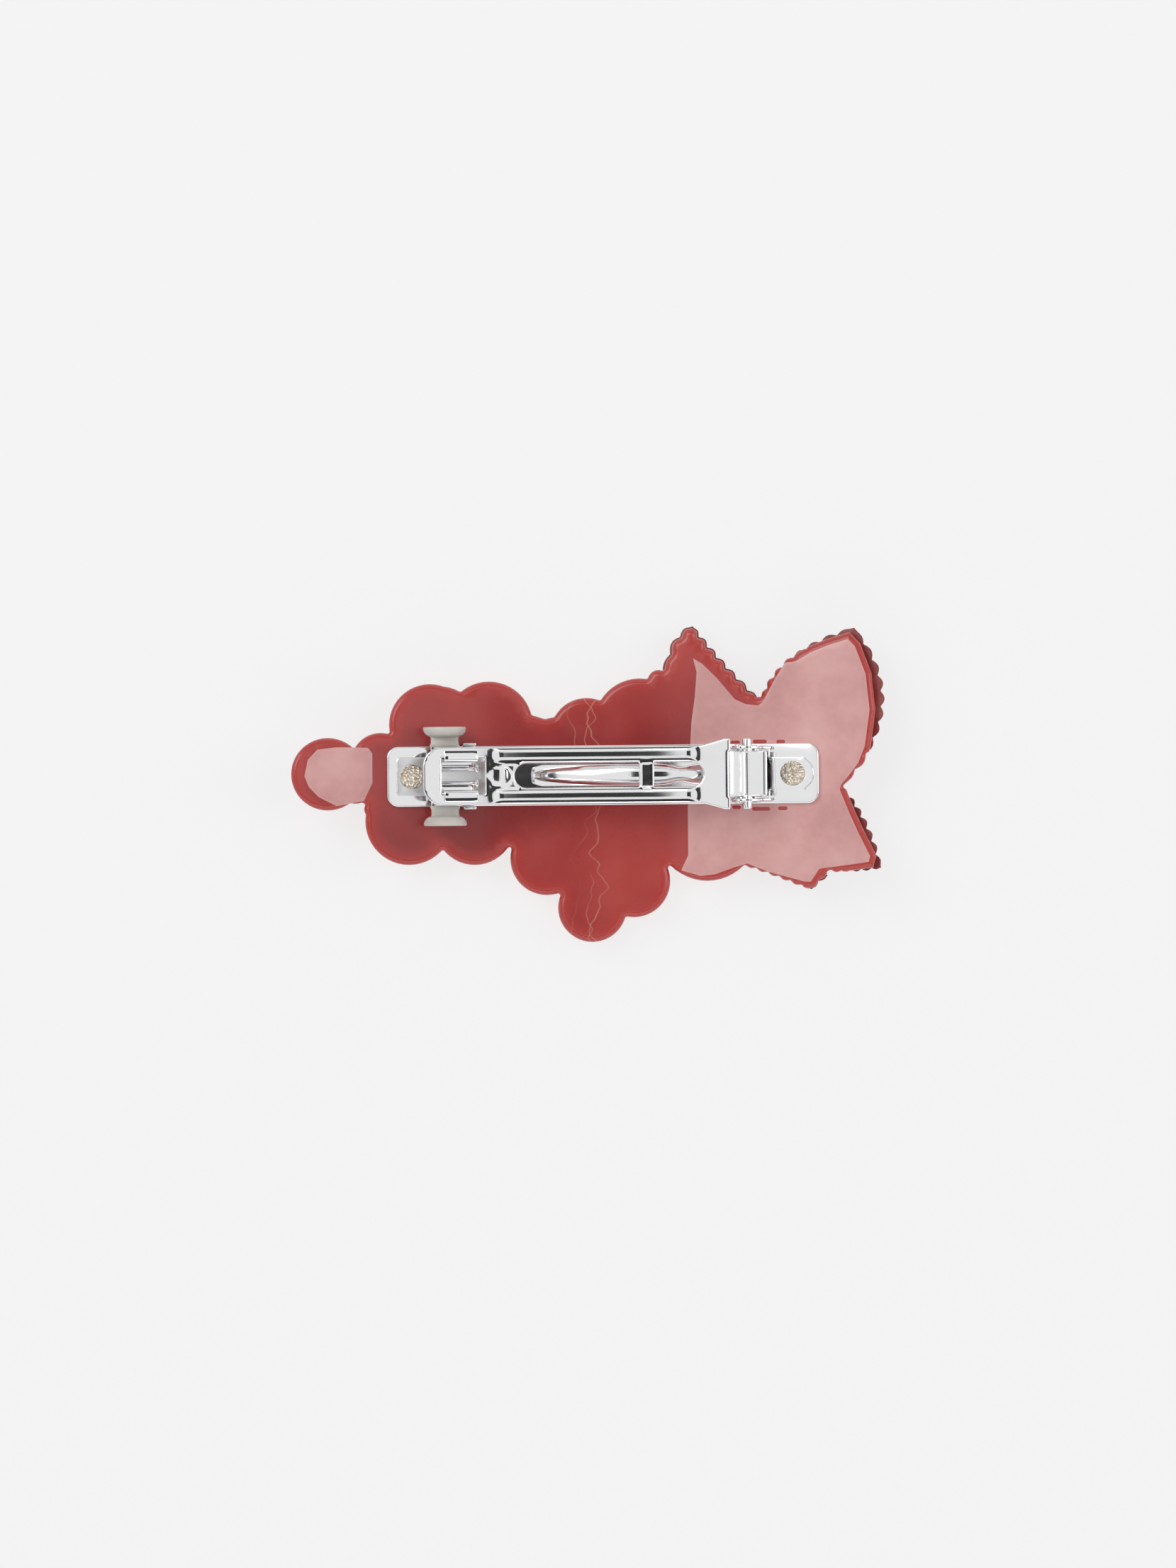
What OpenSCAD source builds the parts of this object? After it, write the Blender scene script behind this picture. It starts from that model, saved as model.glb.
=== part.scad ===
// Flower hair clip: a layered flower and leaf ornament on a steel snap barrette.
// X runs along the clasp, Z points away from the flower's face, which lies down on Z = 0.

/* [Ornament] */
// Overall length of the flower and leaf ornament
ornament_l = 82.5; // [66:0.5:100]
// Bend radius of the ornament's back, as it follows the head
back_r = 150; // [120:1:200]
// Thickness of the back plate
plate_t = 2; // [1.6:0.1:3]
// Height of the petals in front of the back plate
petal_rise = 2.5; // [2:0.1:3.5]
// Radius of each petal's domed face
petal_dome_r = 18; // [14:1:26]
// Thickness of the leaf fronts
leaf_t = 1.5; // [1:0.1:2]
// Thickness of the panels let into the back
inlay_t = 0.7; // [0.4:0.1:1]
// Depth of the scallops on the leaf edges
scallop = 0.5; // [0.2:0.1:0.8]
// Gap between neighbouring petals and leaves
petal_gap = 0.2; // [0.1:0.05:0.4]

/* [Clasp base] */
// Length of the base strip
base_l = 60; // [54:0.5:72]
// Width of the base strip
base_w = 8.4; // [7.8:0.1:10]
// Thickness of the steel strips
strip_t = 0.8; // [0.6:0.1:1]
// Corner radius of the base strip
base_corner = 1.6; // [0.5:0.1:3]
// Thickness of the catch plate and the hinge bracket
bracket_t = 0.4; // [0.3:0.1:0.6]
// Diameter of the rivet heads
rivet_head_d = 3.4; // [2.8:0.1:4]
// Diameter of the rivet shanks
rivet_d = 2; // [1.6:0.1:2.4]

/* [Arm] */
// Free height for hair between the base strip and the arm
hair_gap = 5.8; // [5.4:0.1:8]
// Width of the arm
arm_w = 8.0; // [7.6:0.1:9]
// Width of the arm's two long slots
slot_w = 3.4; // [2.8:0.1:4]
// Length of the slot at the hinge end
end_slot_l = 6.8; // [4:0.1:8]
// Width of the bridge between the two slots
bridge_w = 2.1; // [1.5:0.1:3]
// Width of the arm's flared end
flare_w = 9.8; // [9:0.1:11]
// Height of the pressed rails above the arm
rail_rise = 0.3; // [0.1:0.05:0.5]

/* [Hinge] */
// Distance of the hinge axis from the end of the base strip
hinge_inset = 10; // [9.5:0.1:12]
// Height of the hinge axis over the base strip
hinge_h = 3.9; // [3.6:0.1:4.4]
// Diameter of the arm's lugs
lug_d = 1.4; // [1:0.1:1.8]
// Distance between the ears' mid planes
ear_span = 7.3; // [6.9:0.1:8]
// Radial running clearance of the lugs in the ears
lug_clearance = 0.08; // [0.03:0.01:0.1]

/* [Tension bar] */
// Width of the tension bar
bar_w = 3; // [2.4:0.1:3.4]
// Thickness of the tension bar
bar_t = 0.4; // [0.3:0.05:0.6]
// Rise of the bow over its chord
bar_rise = 2.9; // [2:0.1:3]
// Diameter of the tension bar's own lugs
bar_lug_d = 1; // [0.8:0.1:1.2]

/* [Catch] */
// Distance of the jaws' middle from the end of the base strip
jaw_inset = 10.4; // [9:0.1:12]
// Length of the jaw hooks
jaw_l = 4.8; // [3.6:0.1:5]
// Thickness of the jaw steel
jaw_t = 0.4; // [0.3:0.05:0.5]
// Reach of each hook over the arm's rail
hook_reach = 1.05; // [0.7:0.05:1.2]
// Diameter of the squeeze pads
pad_d = 6; // [5:0.1:6.4]
// Thickness of the squeeze pads
pad_t = 1.4; // [1.2:0.1:1.8]

/* [Hidden] */

k = ornament_l / 82.5;                     // the outline is drawn at 82.5 long
axis_z = petal_rise + plate_t + back_r;    // the bend's axis, a line along Y
far = 60;                                  // reaches past the whole part
clasp_x = 2;                               // middle of the base strip
clasp_y = 1.3;                             // the clasp's centre line
clearance = 0.15;                          // between pieces that pass each other

// heights over the ornament's back, measured towards the bend's axis
base_top = strip_t;
plate_top = base_top + bracket_t;
arm_low = base_top + hair_gap;
arm_top = arm_low + strip_t;
hinge_axis_h = base_top + hinge_h;

catch_end = clasp_x - base_l / 2;
hinge_end = clasp_x + base_l / 2;
hinge_x = hinge_end - hinge_inset;
jaw_x = catch_end + jaw_inset;
catch_rivet_x = catch_end + 3.3;
hinge_rivet_x = hinge_end - 3.4;

// ---- curves and the bend ------------------------------------------------------

function angle_at(x, h) = asin(x / (back_r - h));
function height_at(x, h) = axis_z - sqrt(pow(back_r - h, 2) - x * x);
// A local point (along, height) in the frame on the bend at x and h, as a point in X and Z
function placed(x, h, along, height) = let (a = angle_at(x, h)) [
    (back_r - height) * sin(a) + along * cos(a),
    axis_z - (back_r - height) * cos(a) + along * sin(a)
];
function mix(a, b, t) = a * (1 - t) + b * t;
function bow(a, c, b, t) = mix(mix(a, c, t), mix(c, b, t), t);

// A scalloped edge from a to b, pulled towards c, with a round lobe for each tooth
function leaf_edge(a, c, b, teeth, depth) = let (steps = teeth * 5) [
    for (i = [0 : steps]) let (
        t = i / steps,
        run = mix(c - a, b - c, t),
        out = [-run.y, run.x] / norm(run),
        fade = min(1, 12 * t * (1 - t))
    ) bow(a, c, b, t) + out * depth * fade * (abs(sin(180 * teeth * t)) - 0.5)
];

// Everything further out than a height over the ornament's back
module bend_roller(height) {
    translate([0, 0, axis_z]) rotate([90, 0, 0])
        cylinder(r = back_r - height, h = 2 * far, center = true, $fn = 360);
}

// An outline cut from the bent layer between two heights
module bent(low, high) {
    difference() {
        intersection() {
            linear_extrude(height = 40, convexity = 8) children();
            bend_roller(low);
        }
        bend_roller(high);
    }
}

// A place on the bend: local Z points to the bend's axis, Z = 0 is the ornament's back
module on_bend(x, h = 0) {
    translate([0, 0, axis_z]) rotate([0, -angle_at(x, h), 0]) translate([0, 0, -back_r])
        children();
}

module across(y, width) {
    translate([0, y + width / 2, 0]) rotate([90, 0, 0]) linear_extrude(height = width) children();
}

// ---- the ornament's outline ---------------------------------------------------

left_centre = [-20, 1.5];
right_centre = [4.5, -3.2];
centre_r = 3;
// each petal is [x, y, radius], in order round its flower
left_petals = [
    [-28.9, 3.35, 4.1], [-22, 8.5, 5.7], [-13.8, 8.4, 6.1],
    [-13.3, 1.3, 3.6], [-15.9, -5.5, 5.6], [-25, -4.9, 6.1]
];
right_petals = [
    [-4.9, -0.8, 4.2], [-0.2, 7, 5.1], [7.2, 8.4, 6.35], [16.5, -6.5, 7.1],
    [6.2, -13.5, 5.1], [0.4, -17.2, 4.8], [-5.9, -10.3, 5.1]
];
bud = [-36.2, 1.75, 5.05];
flower_middle = [
    [-33, 1.5], [-28, 6], [-14, 10], [-7.6, 9.7], [-6, 9.2], [-4.5, 9.5], [8, 11], [13, 12], [18, 5],
    [20, -5], [8, -13], [0, -16], [-6, -9.5], [-16, -6], [-26, -5], [-32, -2]
];

// leaf edges, each turning clockwise round the ornament
leaf_1 = concat(
    leaf_edge([10.4, 14.6], [11.2, 20.9], [14.8, 22.1], 3, scallop),
    leaf_edge([14.8, 22.1], [18.4, 17.2], [24.1, 11.6], 7, scallop),
    [[20.5, 5.5], [13, 7]]
);
leaf_2 = concat(
    leaf_edge([24.1, 11.6], [26.6, 18.6], [37.2, 21.6], 8, scallop),
    leaf_edge([37.2, 21.6], [45.9, 10.4], [35.3, -0.6], 10, scallop),
    [[22, 1.2], [20.5, 5.5]]
);
leaf_3 = concat(
    leaf_edge([35.3, -0.6], [39.1, -4.7], [40.7, -12], 7, scallop),
    leaf_edge([40.7, -12], [36.5, -12.8], [32.2, -12.1], 6, scallop * 0.6),
    [[20.5, -3.2], [22, 1.2]]
);
leaf_4 = concat(
    [[32.2, -12.1], [33.4, -13]],
    leaf_edge([33.4, -13], [32, -13.9], [31, -15], 2, scallop * 0.6),
    leaf_edge([31, -15], [26.5, -13], [21.6, -11.4], 6, scallop * 0.7),
    [[17, -7], [20.5, -3.2]]
);
leaves = [leaf_1, leaf_2, leaf_3, leaf_4];

leaf_panel = [
    [14.7, 17.5], [15.2, 15.5], [14.9, 12], [14.4, 8.5], [14.1, 3], [13.8, -3.2], [13.8, -10],
    [12.8, -12.1], [15.5, -12.9], [17.5, -12.7], [20, -11.8], [22, -11.2], [25, -12.4], [30, -13.8],
    [30.8, -13.8], [32, -12], [36, -11.5], [38.8, -11.1], [39, -10.3], [37.5, -7.2], [36.3, -4.5],
    [34.9, -1], [35.1, -0.3], [36, 0.7], [37.5, 2.7], [38.4, 5], [39.1, 10], [38.6, 15], [37.2, 18.8],
    [36.2, 19.9], [33.5, 19.1], [31, 18.1], [29, 16.9], [27.5, 16.7], [26.2, 14.7], [24.3, 11.2],
    [23.7, 10.8], [22, 11], [20.5, 11.7], [18, 14.7], [16, 16.7]
];
bud_panel = [
    [-39.4, 1.5], [-38.9, 3.8], [-37.6, 5.2], [-35, 5.5], [-30.6, 5.4], [-30, 4.6], [-30, 0.5],
    [-31.2, -2], [-35, -2.7], [-37.5, -1.4], [-38.8, 0]
];
// the slits beside the base strip: [x, y, length]
slits = [
    [20.5, 5.65, 1.3], [23.9, 5.75, 1.9], [26.8, 5.7, 1.2],
    [20.6, -3.35, 1.2], [24, -3.6, 2.5], [27, -3.55, 1.3]
];

// Fills the notches of an outline with a small radius
module eased(notch) {
    offset(r = -notch, $fn = 12) offset(delta = notch) children();
}

panel_rim = 0.85;      // red left showing round the leaf panel
plate_inset = 0.35;    // the leaf fronts stand out past the plate by this

module lobe(p, grow = 0) {
    translate([p.x, p.y] * k) circle(r = p.z * k + grow, $fn = 48);
}

module plate_outline() {
    eased(0.3) {
        for (p = concat(left_petals, right_petals, [bud])) lobe(p);
        lobe([-20.7, 8.2, 5.7]);
        lobe([-32.4, 0, 2.4]);
        lobe([-30.2, -3.2, 1.05]);
        lobe([9.9, 14.4, 1.5]);
        polygon(flower_middle * k);
        for (leaf = [leaf_1, leaf_4]) offset(delta = -plate_inset) polygon(leaf * k);
        intersection() {
            offset(delta = panel_rim) polygon(leaf_panel * k);
            union() {
                for (leaf = leaves) polygon(leaf * k);
                polygon([[12, -12], [13, 14], [22, 11], [26, 0], [22, -11]] * k);
            }
        }
    }
}

module leaf_panel_outline() {
    difference() {
        eased(0.3) polygon(leaf_panel * k);
        for (s = slits) translate([s.x, s.y] * k) slit(s.z);
    }
}

module slit(length) {
    hull() for (side = [-1, 1])
        translate([side * (length - 0.5) / 2, 0]) circle(r = 0.25, $fn = 16);
}

// ---- the ornament's pieces ----------------------------------------------------

module back_plate() {
    color([0.66, 0.22, 0.21]) difference() {
        bent(-plate_t, 0) plate_outline();
        bent(-inlay_t, 1) leaf_panel_outline();
        bent(-inlay_t, 1) eased(0.3) polygon(bud_panel * k);
        for (x = [catch_rivet_x, hinge_rivet_x]) rivet_hole(x, rivet_d / 2);
    }
}

module leaf_inlay() {
    color([0.81, 0.62, 0.62]) difference() {
        bent(-inlay_t, 0) leaf_panel_outline();
        rivet_hole(hinge_rivet_x, rivet_d / 2);
    }
}

module bud_inlay() {
    color([0.8, 0.58, 0.57]) difference() {
        bent(-inlay_t, 0) eased(0.3) polygon(bud_panel * k);
        rivet_hole(catch_rivet_x, rivet_d / 2);
    }
}

// A sector from a flower's centre between the directions halfway to each neighbour
module sector(centre, petals, i) {
    n = len(petals);
    dirs = [for (p = petals) atan2(p.y - centre.y, p.x - centre.x)];
    here = dirs[i];
    back = (dirs[(i + n - 1) % n] - here + 720) % 360;
    fore = (here - dirs[(i + 1) % n] + 720) % 360;
    reach = 40;
    translate(centre * k) polygon([
        [0, 0],
        for (a = [here + back / 2, here + back / 4, here, here - fore / 4, here - fore / 2])
            reach * [cos(a), sin(a)]
    ]);
}

module petal_outline(centre, petals, i) {
    difference() {
        offset(r = -petal_gap / 2, $fn = 16) intersection() {
            hull() {
                lobe(petals[i]);
                lobe([centre.x, centre.y, 1.5]);
            }
            sector(centre, petals, i);
        }
        lobe([centre.x, centre.y, centre_r], petal_gap);
    }
}

module petal(centre, petals, i) {
    p = petals[i] * k;
    front = -plate_t - petal_rise;
    intersection() {
        bent(front - 1, -plate_t) petal_outline(centre, petals, i);
        translate([0, p.y, 0]) on_bend(p.x, front)
            translate([0, 0, front + petal_dome_r]) sphere(r = petal_dome_r, $fn = 180);
    }
}

module left_petal(i) { color([0.74, 0.2, 0.2]) petal(left_centre, left_petals, i); }
module right_petal(i) { color([0.74, 0.2, 0.2]) petal(right_centre, right_petals, i); }

module flower_centre(centre) {
    front = -plate_t - petal_rise;
    color([0.86, 0.62, 0.6]) intersection() {
        bent(front, -plate_t) lobe([centre.x, centre.y, centre_r]);
        translate([0, centre.y * k, 0]) on_bend(centre.x * k, front)
            translate([0, 0, front + 4.5]) sphere(r = 4.4, $fn = 96);
    }
}

module bud_front() {
    color([0.74, 0.2, 0.2]) bent(-plate_t - leaf_t, -plate_t) difference() {
        offset(r = -petal_gap, $fn = 16) union() {
            lobe(bud);
            lobe([-32.4, 0, 2.4]);
        }
        lobe(left_petals[0], petal_gap);
    }
}

// Four leaf fronts, cut back where the right flower's petals lie
module leaf_front(i) {
    color([0.6, 0.2, 0.2]) bent(-plate_t - leaf_t, -plate_t) difference() {
        offset(delta = -petal_gap / 2) polygon(leaves[i] * k);
        for (p = right_petals) lobe(p, petal_gap);
    }
}

// ---- the clasp's base ---------------------------------------------------------

rivet_depth = 1.4;     // how far a rivet goes into the back plate
rivet_slack = 0.05;    // room round a rivet in the sheet metal
head_rise = 0.7;       // height of a rivet's head
head_dome_r = 3;

module rivet_hole(x, r) {
    translate([0, clasp_y, 0]) on_bend(x) translate([0, 0, -rivet_depth]) cylinder(r = r, h = 6, $fn = 48);
}

module strip_outline(length, width, corner) {
    offset(r = corner, $fn = 48) square([length - 2 * corner, width - 2 * corner], center = true);
}

module base_strip() {
    color([0.78, 0.78, 0.79]) difference() {
        bent(0, base_top) translate([clasp_x, clasp_y]) strip_outline(base_l, base_w, base_corner);
        for (x = [catch_rivet_x, hinge_rivet_x]) rivet_hole(x, rivet_d / 2 + rivet_slack);
    }
}

// A domed head on a shank that ends in the back plate
module rivet(x, seat) {
    head_r = rivet_head_d / 2;
    color([0.8, 0.77, 0.7]) translate([0, clasp_y, 0]) on_bend(x) {
        translate([0, 0, -rivet_depth])
            cylinder(r = rivet_d / 2, h = rivet_depth + seat + 0.2, $fn = 48);
        translate([0, 0, seat]) intersection() {
            cylinder(r = head_r, h = 1, $fn = 64);
            translate([0, 0, head_rise - head_dome_r]) sphere(r = head_dome_r, $fn = 96);
        }
    }
}

module catch_rivet() { rivet(catch_rivet_x, plate_top + 0.01); }
module hinge_rivet() { rivet(hinge_rivet_x, plate_top + 0.01); }

// ---- the catch ----------------------------------------------------------------

rail_w = 1.45;                               // metal left beside the arm's window
window_half = arm_w / 2 - rail_w;
stem_w = window_half - clearance - 0.05;     // outer face of the jaw's stem
jaw_pivot = [1, plate_top + 0.45];           // the jaw's pivot: [off centre line, height]
foot_r = 0.3;
wing_h = plate_top + 2.2;
wing_x = -1.85;                              // the wing's middle, off the hook's middle
wing_l = 3.9;
pad_off = base_w / 2 + 1.3;                  // inner face of the squeeze pad
pad_h = pad_d / 2 + 0.6;
hook_low = arm_top + clearance;
hook_high = hook_low + 0.5;

// A place at the jaws: local X along the jaw, Y outwards from the centre line
module at_jaws(side) {
    translate([0, clasp_y, 0]) on_bend(jaw_x, arm_top)
        if (side < 0) mirror([0, 1, 0]) children(); else children();
}

// Extrudes a profile drawn in [off centre line, height] along the jaw
module jaw_sweep(x, length) {
    translate([x - length / 2, 0, 0]) rotate([90, 0, 90]) linear_extrude(height = length)
        children();
}

module catch_plate() {
    tab_l = 1.8;
    tab_x = 0.8;
    tab_from = placed(jaw_x, arm_top, tab_x, plate_top).x;
    color([0.74, 0.74, 0.76]) {
        difference() {
            bent(base_top, plate_top) {
                translate([(catch_rivet_x + jaw_x) / 2 + 0.7, clasp_y])
                    strip_outline(jaw_x - catch_rivet_x + 5.2, 5.4, 0.6);
                translate([tab_from, clasp_y - base_w / 2 - bracket_t])
                    square([tab_l, base_w + 2 * bracket_t]);
            }
            rivet_hole(catch_rivet_x, rivet_d / 2 + rivet_slack);
        }
        for (side = [-1, 1]) at_jaws(side) {
            // guide tab beside the arm
            translate([tab_x, base_w / 2, plate_top - bracket_t / 2])
                cube([tab_l, bracket_t, 2]);
            // two small ears that carry the jaw's foot
            for (x = [-1, 1] * (jaw_l / 2 + 0.35)) difference() {
                jaw_sweep(x, 0.4) {
                    translate(jaw_pivot) circle(r = 0.65, $fn = 32);
                    translate([jaw_pivot.x - 0.65, plate_top - 0.05]) square([1.3, 0.5]);
                }
                translate([x - 1, jaw_pivot.x, jaw_pivot.y]) rotate([0, 90, 0])
                    cylinder(r = foot_r + lug_clearance, h = 2, $fn = 32);
            }
        }
    }
}

// A jaw: foot, stem through the arm's window, hook over the rail, and wing to the pad
module jaw(side) {
    color([0.76, 0.76, 0.78]) at_jaws(side) {
        translate([-jaw_l / 2 - 0.6, jaw_pivot.x, jaw_pivot.y]) rotate([0, 90, 0])
            cylinder(r = foot_r, h = jaw_l + 1.2, $fn = 32);
        jaw_sweep(0, jaw_l - 0.1) polygon([
            [jaw_pivot.x, jaw_pivot.y - 0.2], [stem_w - 0.2, jaw_pivot.y], [stem_w, jaw_pivot.y + 0.3],
            [stem_w, hook_low], [window_half + hook_reach, hook_low],
            [window_half + hook_reach, hook_low + 0.2], [stem_w + 0.3, hook_high],
            [stem_w - jaw_t, hook_high], [stem_w - jaw_t, jaw_pivot.y + 0.4],
            [jaw_pivot.x, jaw_pivot.y + 0.2]
        ]);
        jaw_sweep(wing_x, wing_l) translate([stem_w - jaw_t, wing_h])
            square([pad_off + 0.5 - stem_w + jaw_t, jaw_t]);
        translate([wing_x, pad_off + 0.3, pad_h]) rotate([-90, 0, 0])
            cylinder(r = pad_d / 2 - 0.6, h = jaw_t, $fn = 64);
    }
}

// A soft sleeve over the jaw's wing and disc
module pad(side) {
    color([0.86, 0.84, 0.79]) at_jaws(side) difference() {
        union() {
            translate([wing_x, pad_off, pad_h]) rotate([-90, 0, 0])
                cylinder(r = pad_d / 2, h = pad_t, $fn = 72);
            jaw_sweep(wing_x, wing_l + 0.4) translate([pad_off - 1.5, wing_h - 0.35])
                square([2, jaw_t + 0.7]);
        }
        jaw_sweep(wing_x, wing_l) translate([stem_w, wing_h])
            square([pad_off + 0.5 - stem_w, jaw_t]);
        translate([wing_x, pad_off + 0.3, pad_h]) rotate([-90, 0, 0])
            cylinder(r = pad_d / 2 - 0.6, h = jaw_t, $fn = 64);
    }
}

module jaw_upper() { jaw(1); }
module jaw_lower() { jaw(-1); }
module pad_upper() { pad(1); }
module pad_lower() { pad(-1); }

// ---- the hinge ----------------------------------------------------------------

ear_t = bracket_t;
ear_r = 2.2;
bar_pivot = [-1.5, plate_top + 1.25];         // from the hinge axis along X, and height
hinge_local = [0, hinge_axis_h];

module at_hinge() {
    translate([0, clasp_y, 0]) on_bend(hinge_x, hinge_axis_h) children();
}

module hinge_bracket() {
    tongue_w = 4.6;
    floor_from = hinge_x - 2.4;
    floor_to = hinge_x + 3.2;
    color([0.76, 0.76, 0.78]) {
        difference() {
            bent(base_top, plate_top) translate([0, clasp_y]) {
                translate([floor_from, -ear_span / 2 - ear_t / 2])
                    square([floor_to - floor_from, ear_span + ear_t]);
                translate([floor_to - 1, -tongue_w / 2])
                    square([hinge_rivet_x + 1.5 - floor_to + 1, tongue_w]);
                translate([hinge_rivet_x + 0.4, 0]) circle(r = tongue_w / 2, $fn = 64);
            }
            rivet_hole(hinge_rivet_x, rivet_d / 2 + rivet_slack);
        }
        at_hinge() for (side = [-1, 1]) difference() {
            across(side * ear_span / 2, ear_t) {
                translate(hinge_local) circle(r = ear_r, $fn = 72);
                polygon([
                    [-2.35, plate_top - 0.1], [-2.35, plate_top + 2.2], [-ear_r * 0.9, hinge_axis_h],
                    [ear_r * 0.95, hinge_axis_h], [3.05, plate_top + 1], [3.05, plate_top - 0.1]
                ]);
            }
            translate([0, side * ear_span / 2 + 1, hinge_axis_h]) rotate([90, 0, 0])
                cylinder(d = lug_d + 2 * lug_clearance, h = 2, $fn = 48);
            translate([bar_pivot.x, side * ear_span / 2 + 1, bar_pivot.y]) rotate([90, 0, 0])
                cylinder(d = bar_lug_d + 2 * lug_clearance, h = 2, $fn = 48);
        }
    }
}

// ---- the arm ------------------------------------------------------------------

arm_tip = jaw_x - 5.25;
arm_end = hinge_x - 2.4;
window_from = arm_tip + 2.6;
window_to = jaw_x + jaw_l / 2 + 0.9;
slot_to = hinge_x - 6.1;
bridge_from = slot_to - end_slot_l - bridge_w;
slot_from = window_to + 4.1;
tail_half = ear_span / 2 - ear_t / 2 - 0.25;

module arm_outline() {
    flare_from = arm_end - 3.9;
    difference() {
        union() {
            hull() {
                for (side = [-1, 1]) translate([arm_tip + 2.6, side * (arm_w / 2 - 2.6)])
                    circle(r = 2.6, $fn = 64);
                translate([flare_from - 0.5, -arm_w / 2]) square([0.5, arm_w]);
            }
            polygon([
                [flare_from - 1, -arm_w / 2], [flare_from - 1, arm_w / 2], [flare_from, arm_w / 2],
                [arm_end - 1.6, flare_w / 2 - 0.25], [arm_end - 0.8, flare_w / 2],
                [arm_end, flare_w / 2], [arm_end, -flare_w / 2], [arm_end - 0.8, -flare_w / 2],
                [arm_end - 1.6, -flare_w / 2 + 0.25], [flare_from, -arm_w / 2]
            ]);
        }
        translate([window_from, -window_half]) square([window_to - window_from, 2 * window_half]);
        round_slot(slot_from, bridge_from, true);
        round_slot(slot_to - end_slot_l, slot_to, false);
    }
}

// A slot with one round end
module round_slot(from, to, round_left) {
    r = slot_w / 2;
    translate([round_left ? from + r : from, -r]) square([to - from - r, slot_w]);
    translate([round_left ? from + r : to - r, 0]) circle(r = r, $fn = 64);
}

module arm() {
    rail_half = arm_w / 2 - slot_w / 2;
    color([0.8, 0.8, 0.82]) {
        translate([0, clasp_y, 0]) {
            bent(arm_low, arm_top) arm_outline();
            // pressed rails beside the slots, and the pressed oval in the cross piece
            bent(arm_top - 0.1, arm_top + rail_rise) {
                for (side = [-1, 1]) translate([0, side * (slot_w / 2 + rail_half / 2)])
                    hull() for (x = [window_to + 1.5, slot_to - 1])
                        translate([x, 0]) circle(r = rail_half / 2 - 0.35, $fn = 32);
            }
        }
        at_hinge() {
            across(0, 2 * tail_half) polygon([
                [-2.9, arm_low + 0.15], [-2.9, arm_top - 0.05], [-2.1, arm_top - 0.05],
                [-0.5, hinge_axis_h + strip_t / 2], [2.8, hinge_axis_h + strip_t / 2],
                [2.8, hinge_axis_h - strip_t / 2], [-0.9, hinge_axis_h - strip_t / 2],
                [-2.4, arm_low + 0.15]
            ]);
            for (side = [-1, 1]) translate([0, side * (tail_half - 0.3), hinge_axis_h])
                rotate([-90 * side, 0, 0]) cylinder(d = lug_d, h = flare_w / 2 - tail_half + 0.3, $fn = 48);
        }
    }
}

// ---- the tension bar ----------------------------------------------------------

bar_free_x = slot_from + 2.3;
bar_root = placed(hinge_x, hinge_axis_h, bar_pivot.x, bar_pivot.y);
bar_tip = [bar_free_x, height_at(bar_free_x, plate_top + 0.6)];

// A bow through two points, drawn in X and Z, with a curled root that turns on its own lugs
module tension_bar() {
    chord = bar_root - bar_tip;
    half = norm(chord) / 2;
    bow_r = (half * half + bar_rise * bar_rise) / (2 * bar_rise);
    along = chord / norm(chord);
    up = [-along.y, along.x];
    bow_centre = (bar_root + bar_tip) / 2 + up * (bar_rise - bow_r);
    knuckle_half = ear_span / 2 - ear_t / 2 - 0.2;
    color([0.8, 0.8, 0.82]) translate([0, clasp_y, 0]) {
        intersection() {
            translate([bow_centre.x, 0, bow_centre.y]) rotate([90, 0, 0]) difference() {
                cylinder(r = bow_r + bar_t / 2, h = bar_w, center = true, $fn = 360);
                cylinder(r = bow_r - bar_t / 2, h = bar_w + 1, center = true, $fn = 360);
            }
            translate([bar_tip.x, -bar_w / 2 - 1, bar_tip.y - 2])
                cube([bar_root.x - bar_tip.x, bar_w + 2, 12]);
        }
        translate([bar_root.x, 0, bar_root.y]) rotate([90, 0, 0]) {
            cylinder(d = bar_lug_d + 0.7, h = 2 * knuckle_half, center = true, $fn = 48);
            cylinder(d = bar_lug_d, h = ear_span + ear_t + 0.6, center = true, $fn = 48);
        }
    }
}

back_plate();
leaf_inlay();
bud_inlay();
bud_front();
leaf_front(0);  // leaf_front_1
leaf_front(1);  // leaf_front_2
leaf_front(2);  // leaf_front_3
leaf_front(3);  // leaf_front_4
left_petal(0);  // left_petal_1
left_petal(1);  // left_petal_2
left_petal(2);  // left_petal_3
left_petal(3);  // left_petal_4
left_petal(4);  // left_petal_5
left_petal(5);  // left_petal_6
right_petal(0);  // right_petal_1
right_petal(1);  // right_petal_2
right_petal(2);  // right_petal_3
right_petal(3);  // right_petal_4
right_petal(4);  // right_petal_5
right_petal(5);  // right_petal_6
right_petal(6);  // right_petal_7
flower_centre(left_centre);  // left_flower_centre
flower_centre(right_centre);  // right_flower_centre
base_strip();
catch_plate();
hinge_bracket();
catch_rivet();
hinge_rivet();
arm();
tension_bar();
jaw_upper();
jaw_lower();
pad_upper();
pad_lower();
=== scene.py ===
import math

import bpy
import numpy as np
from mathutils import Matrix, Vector
from mathutils.geometry import delaunay_2d_cdt


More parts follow.
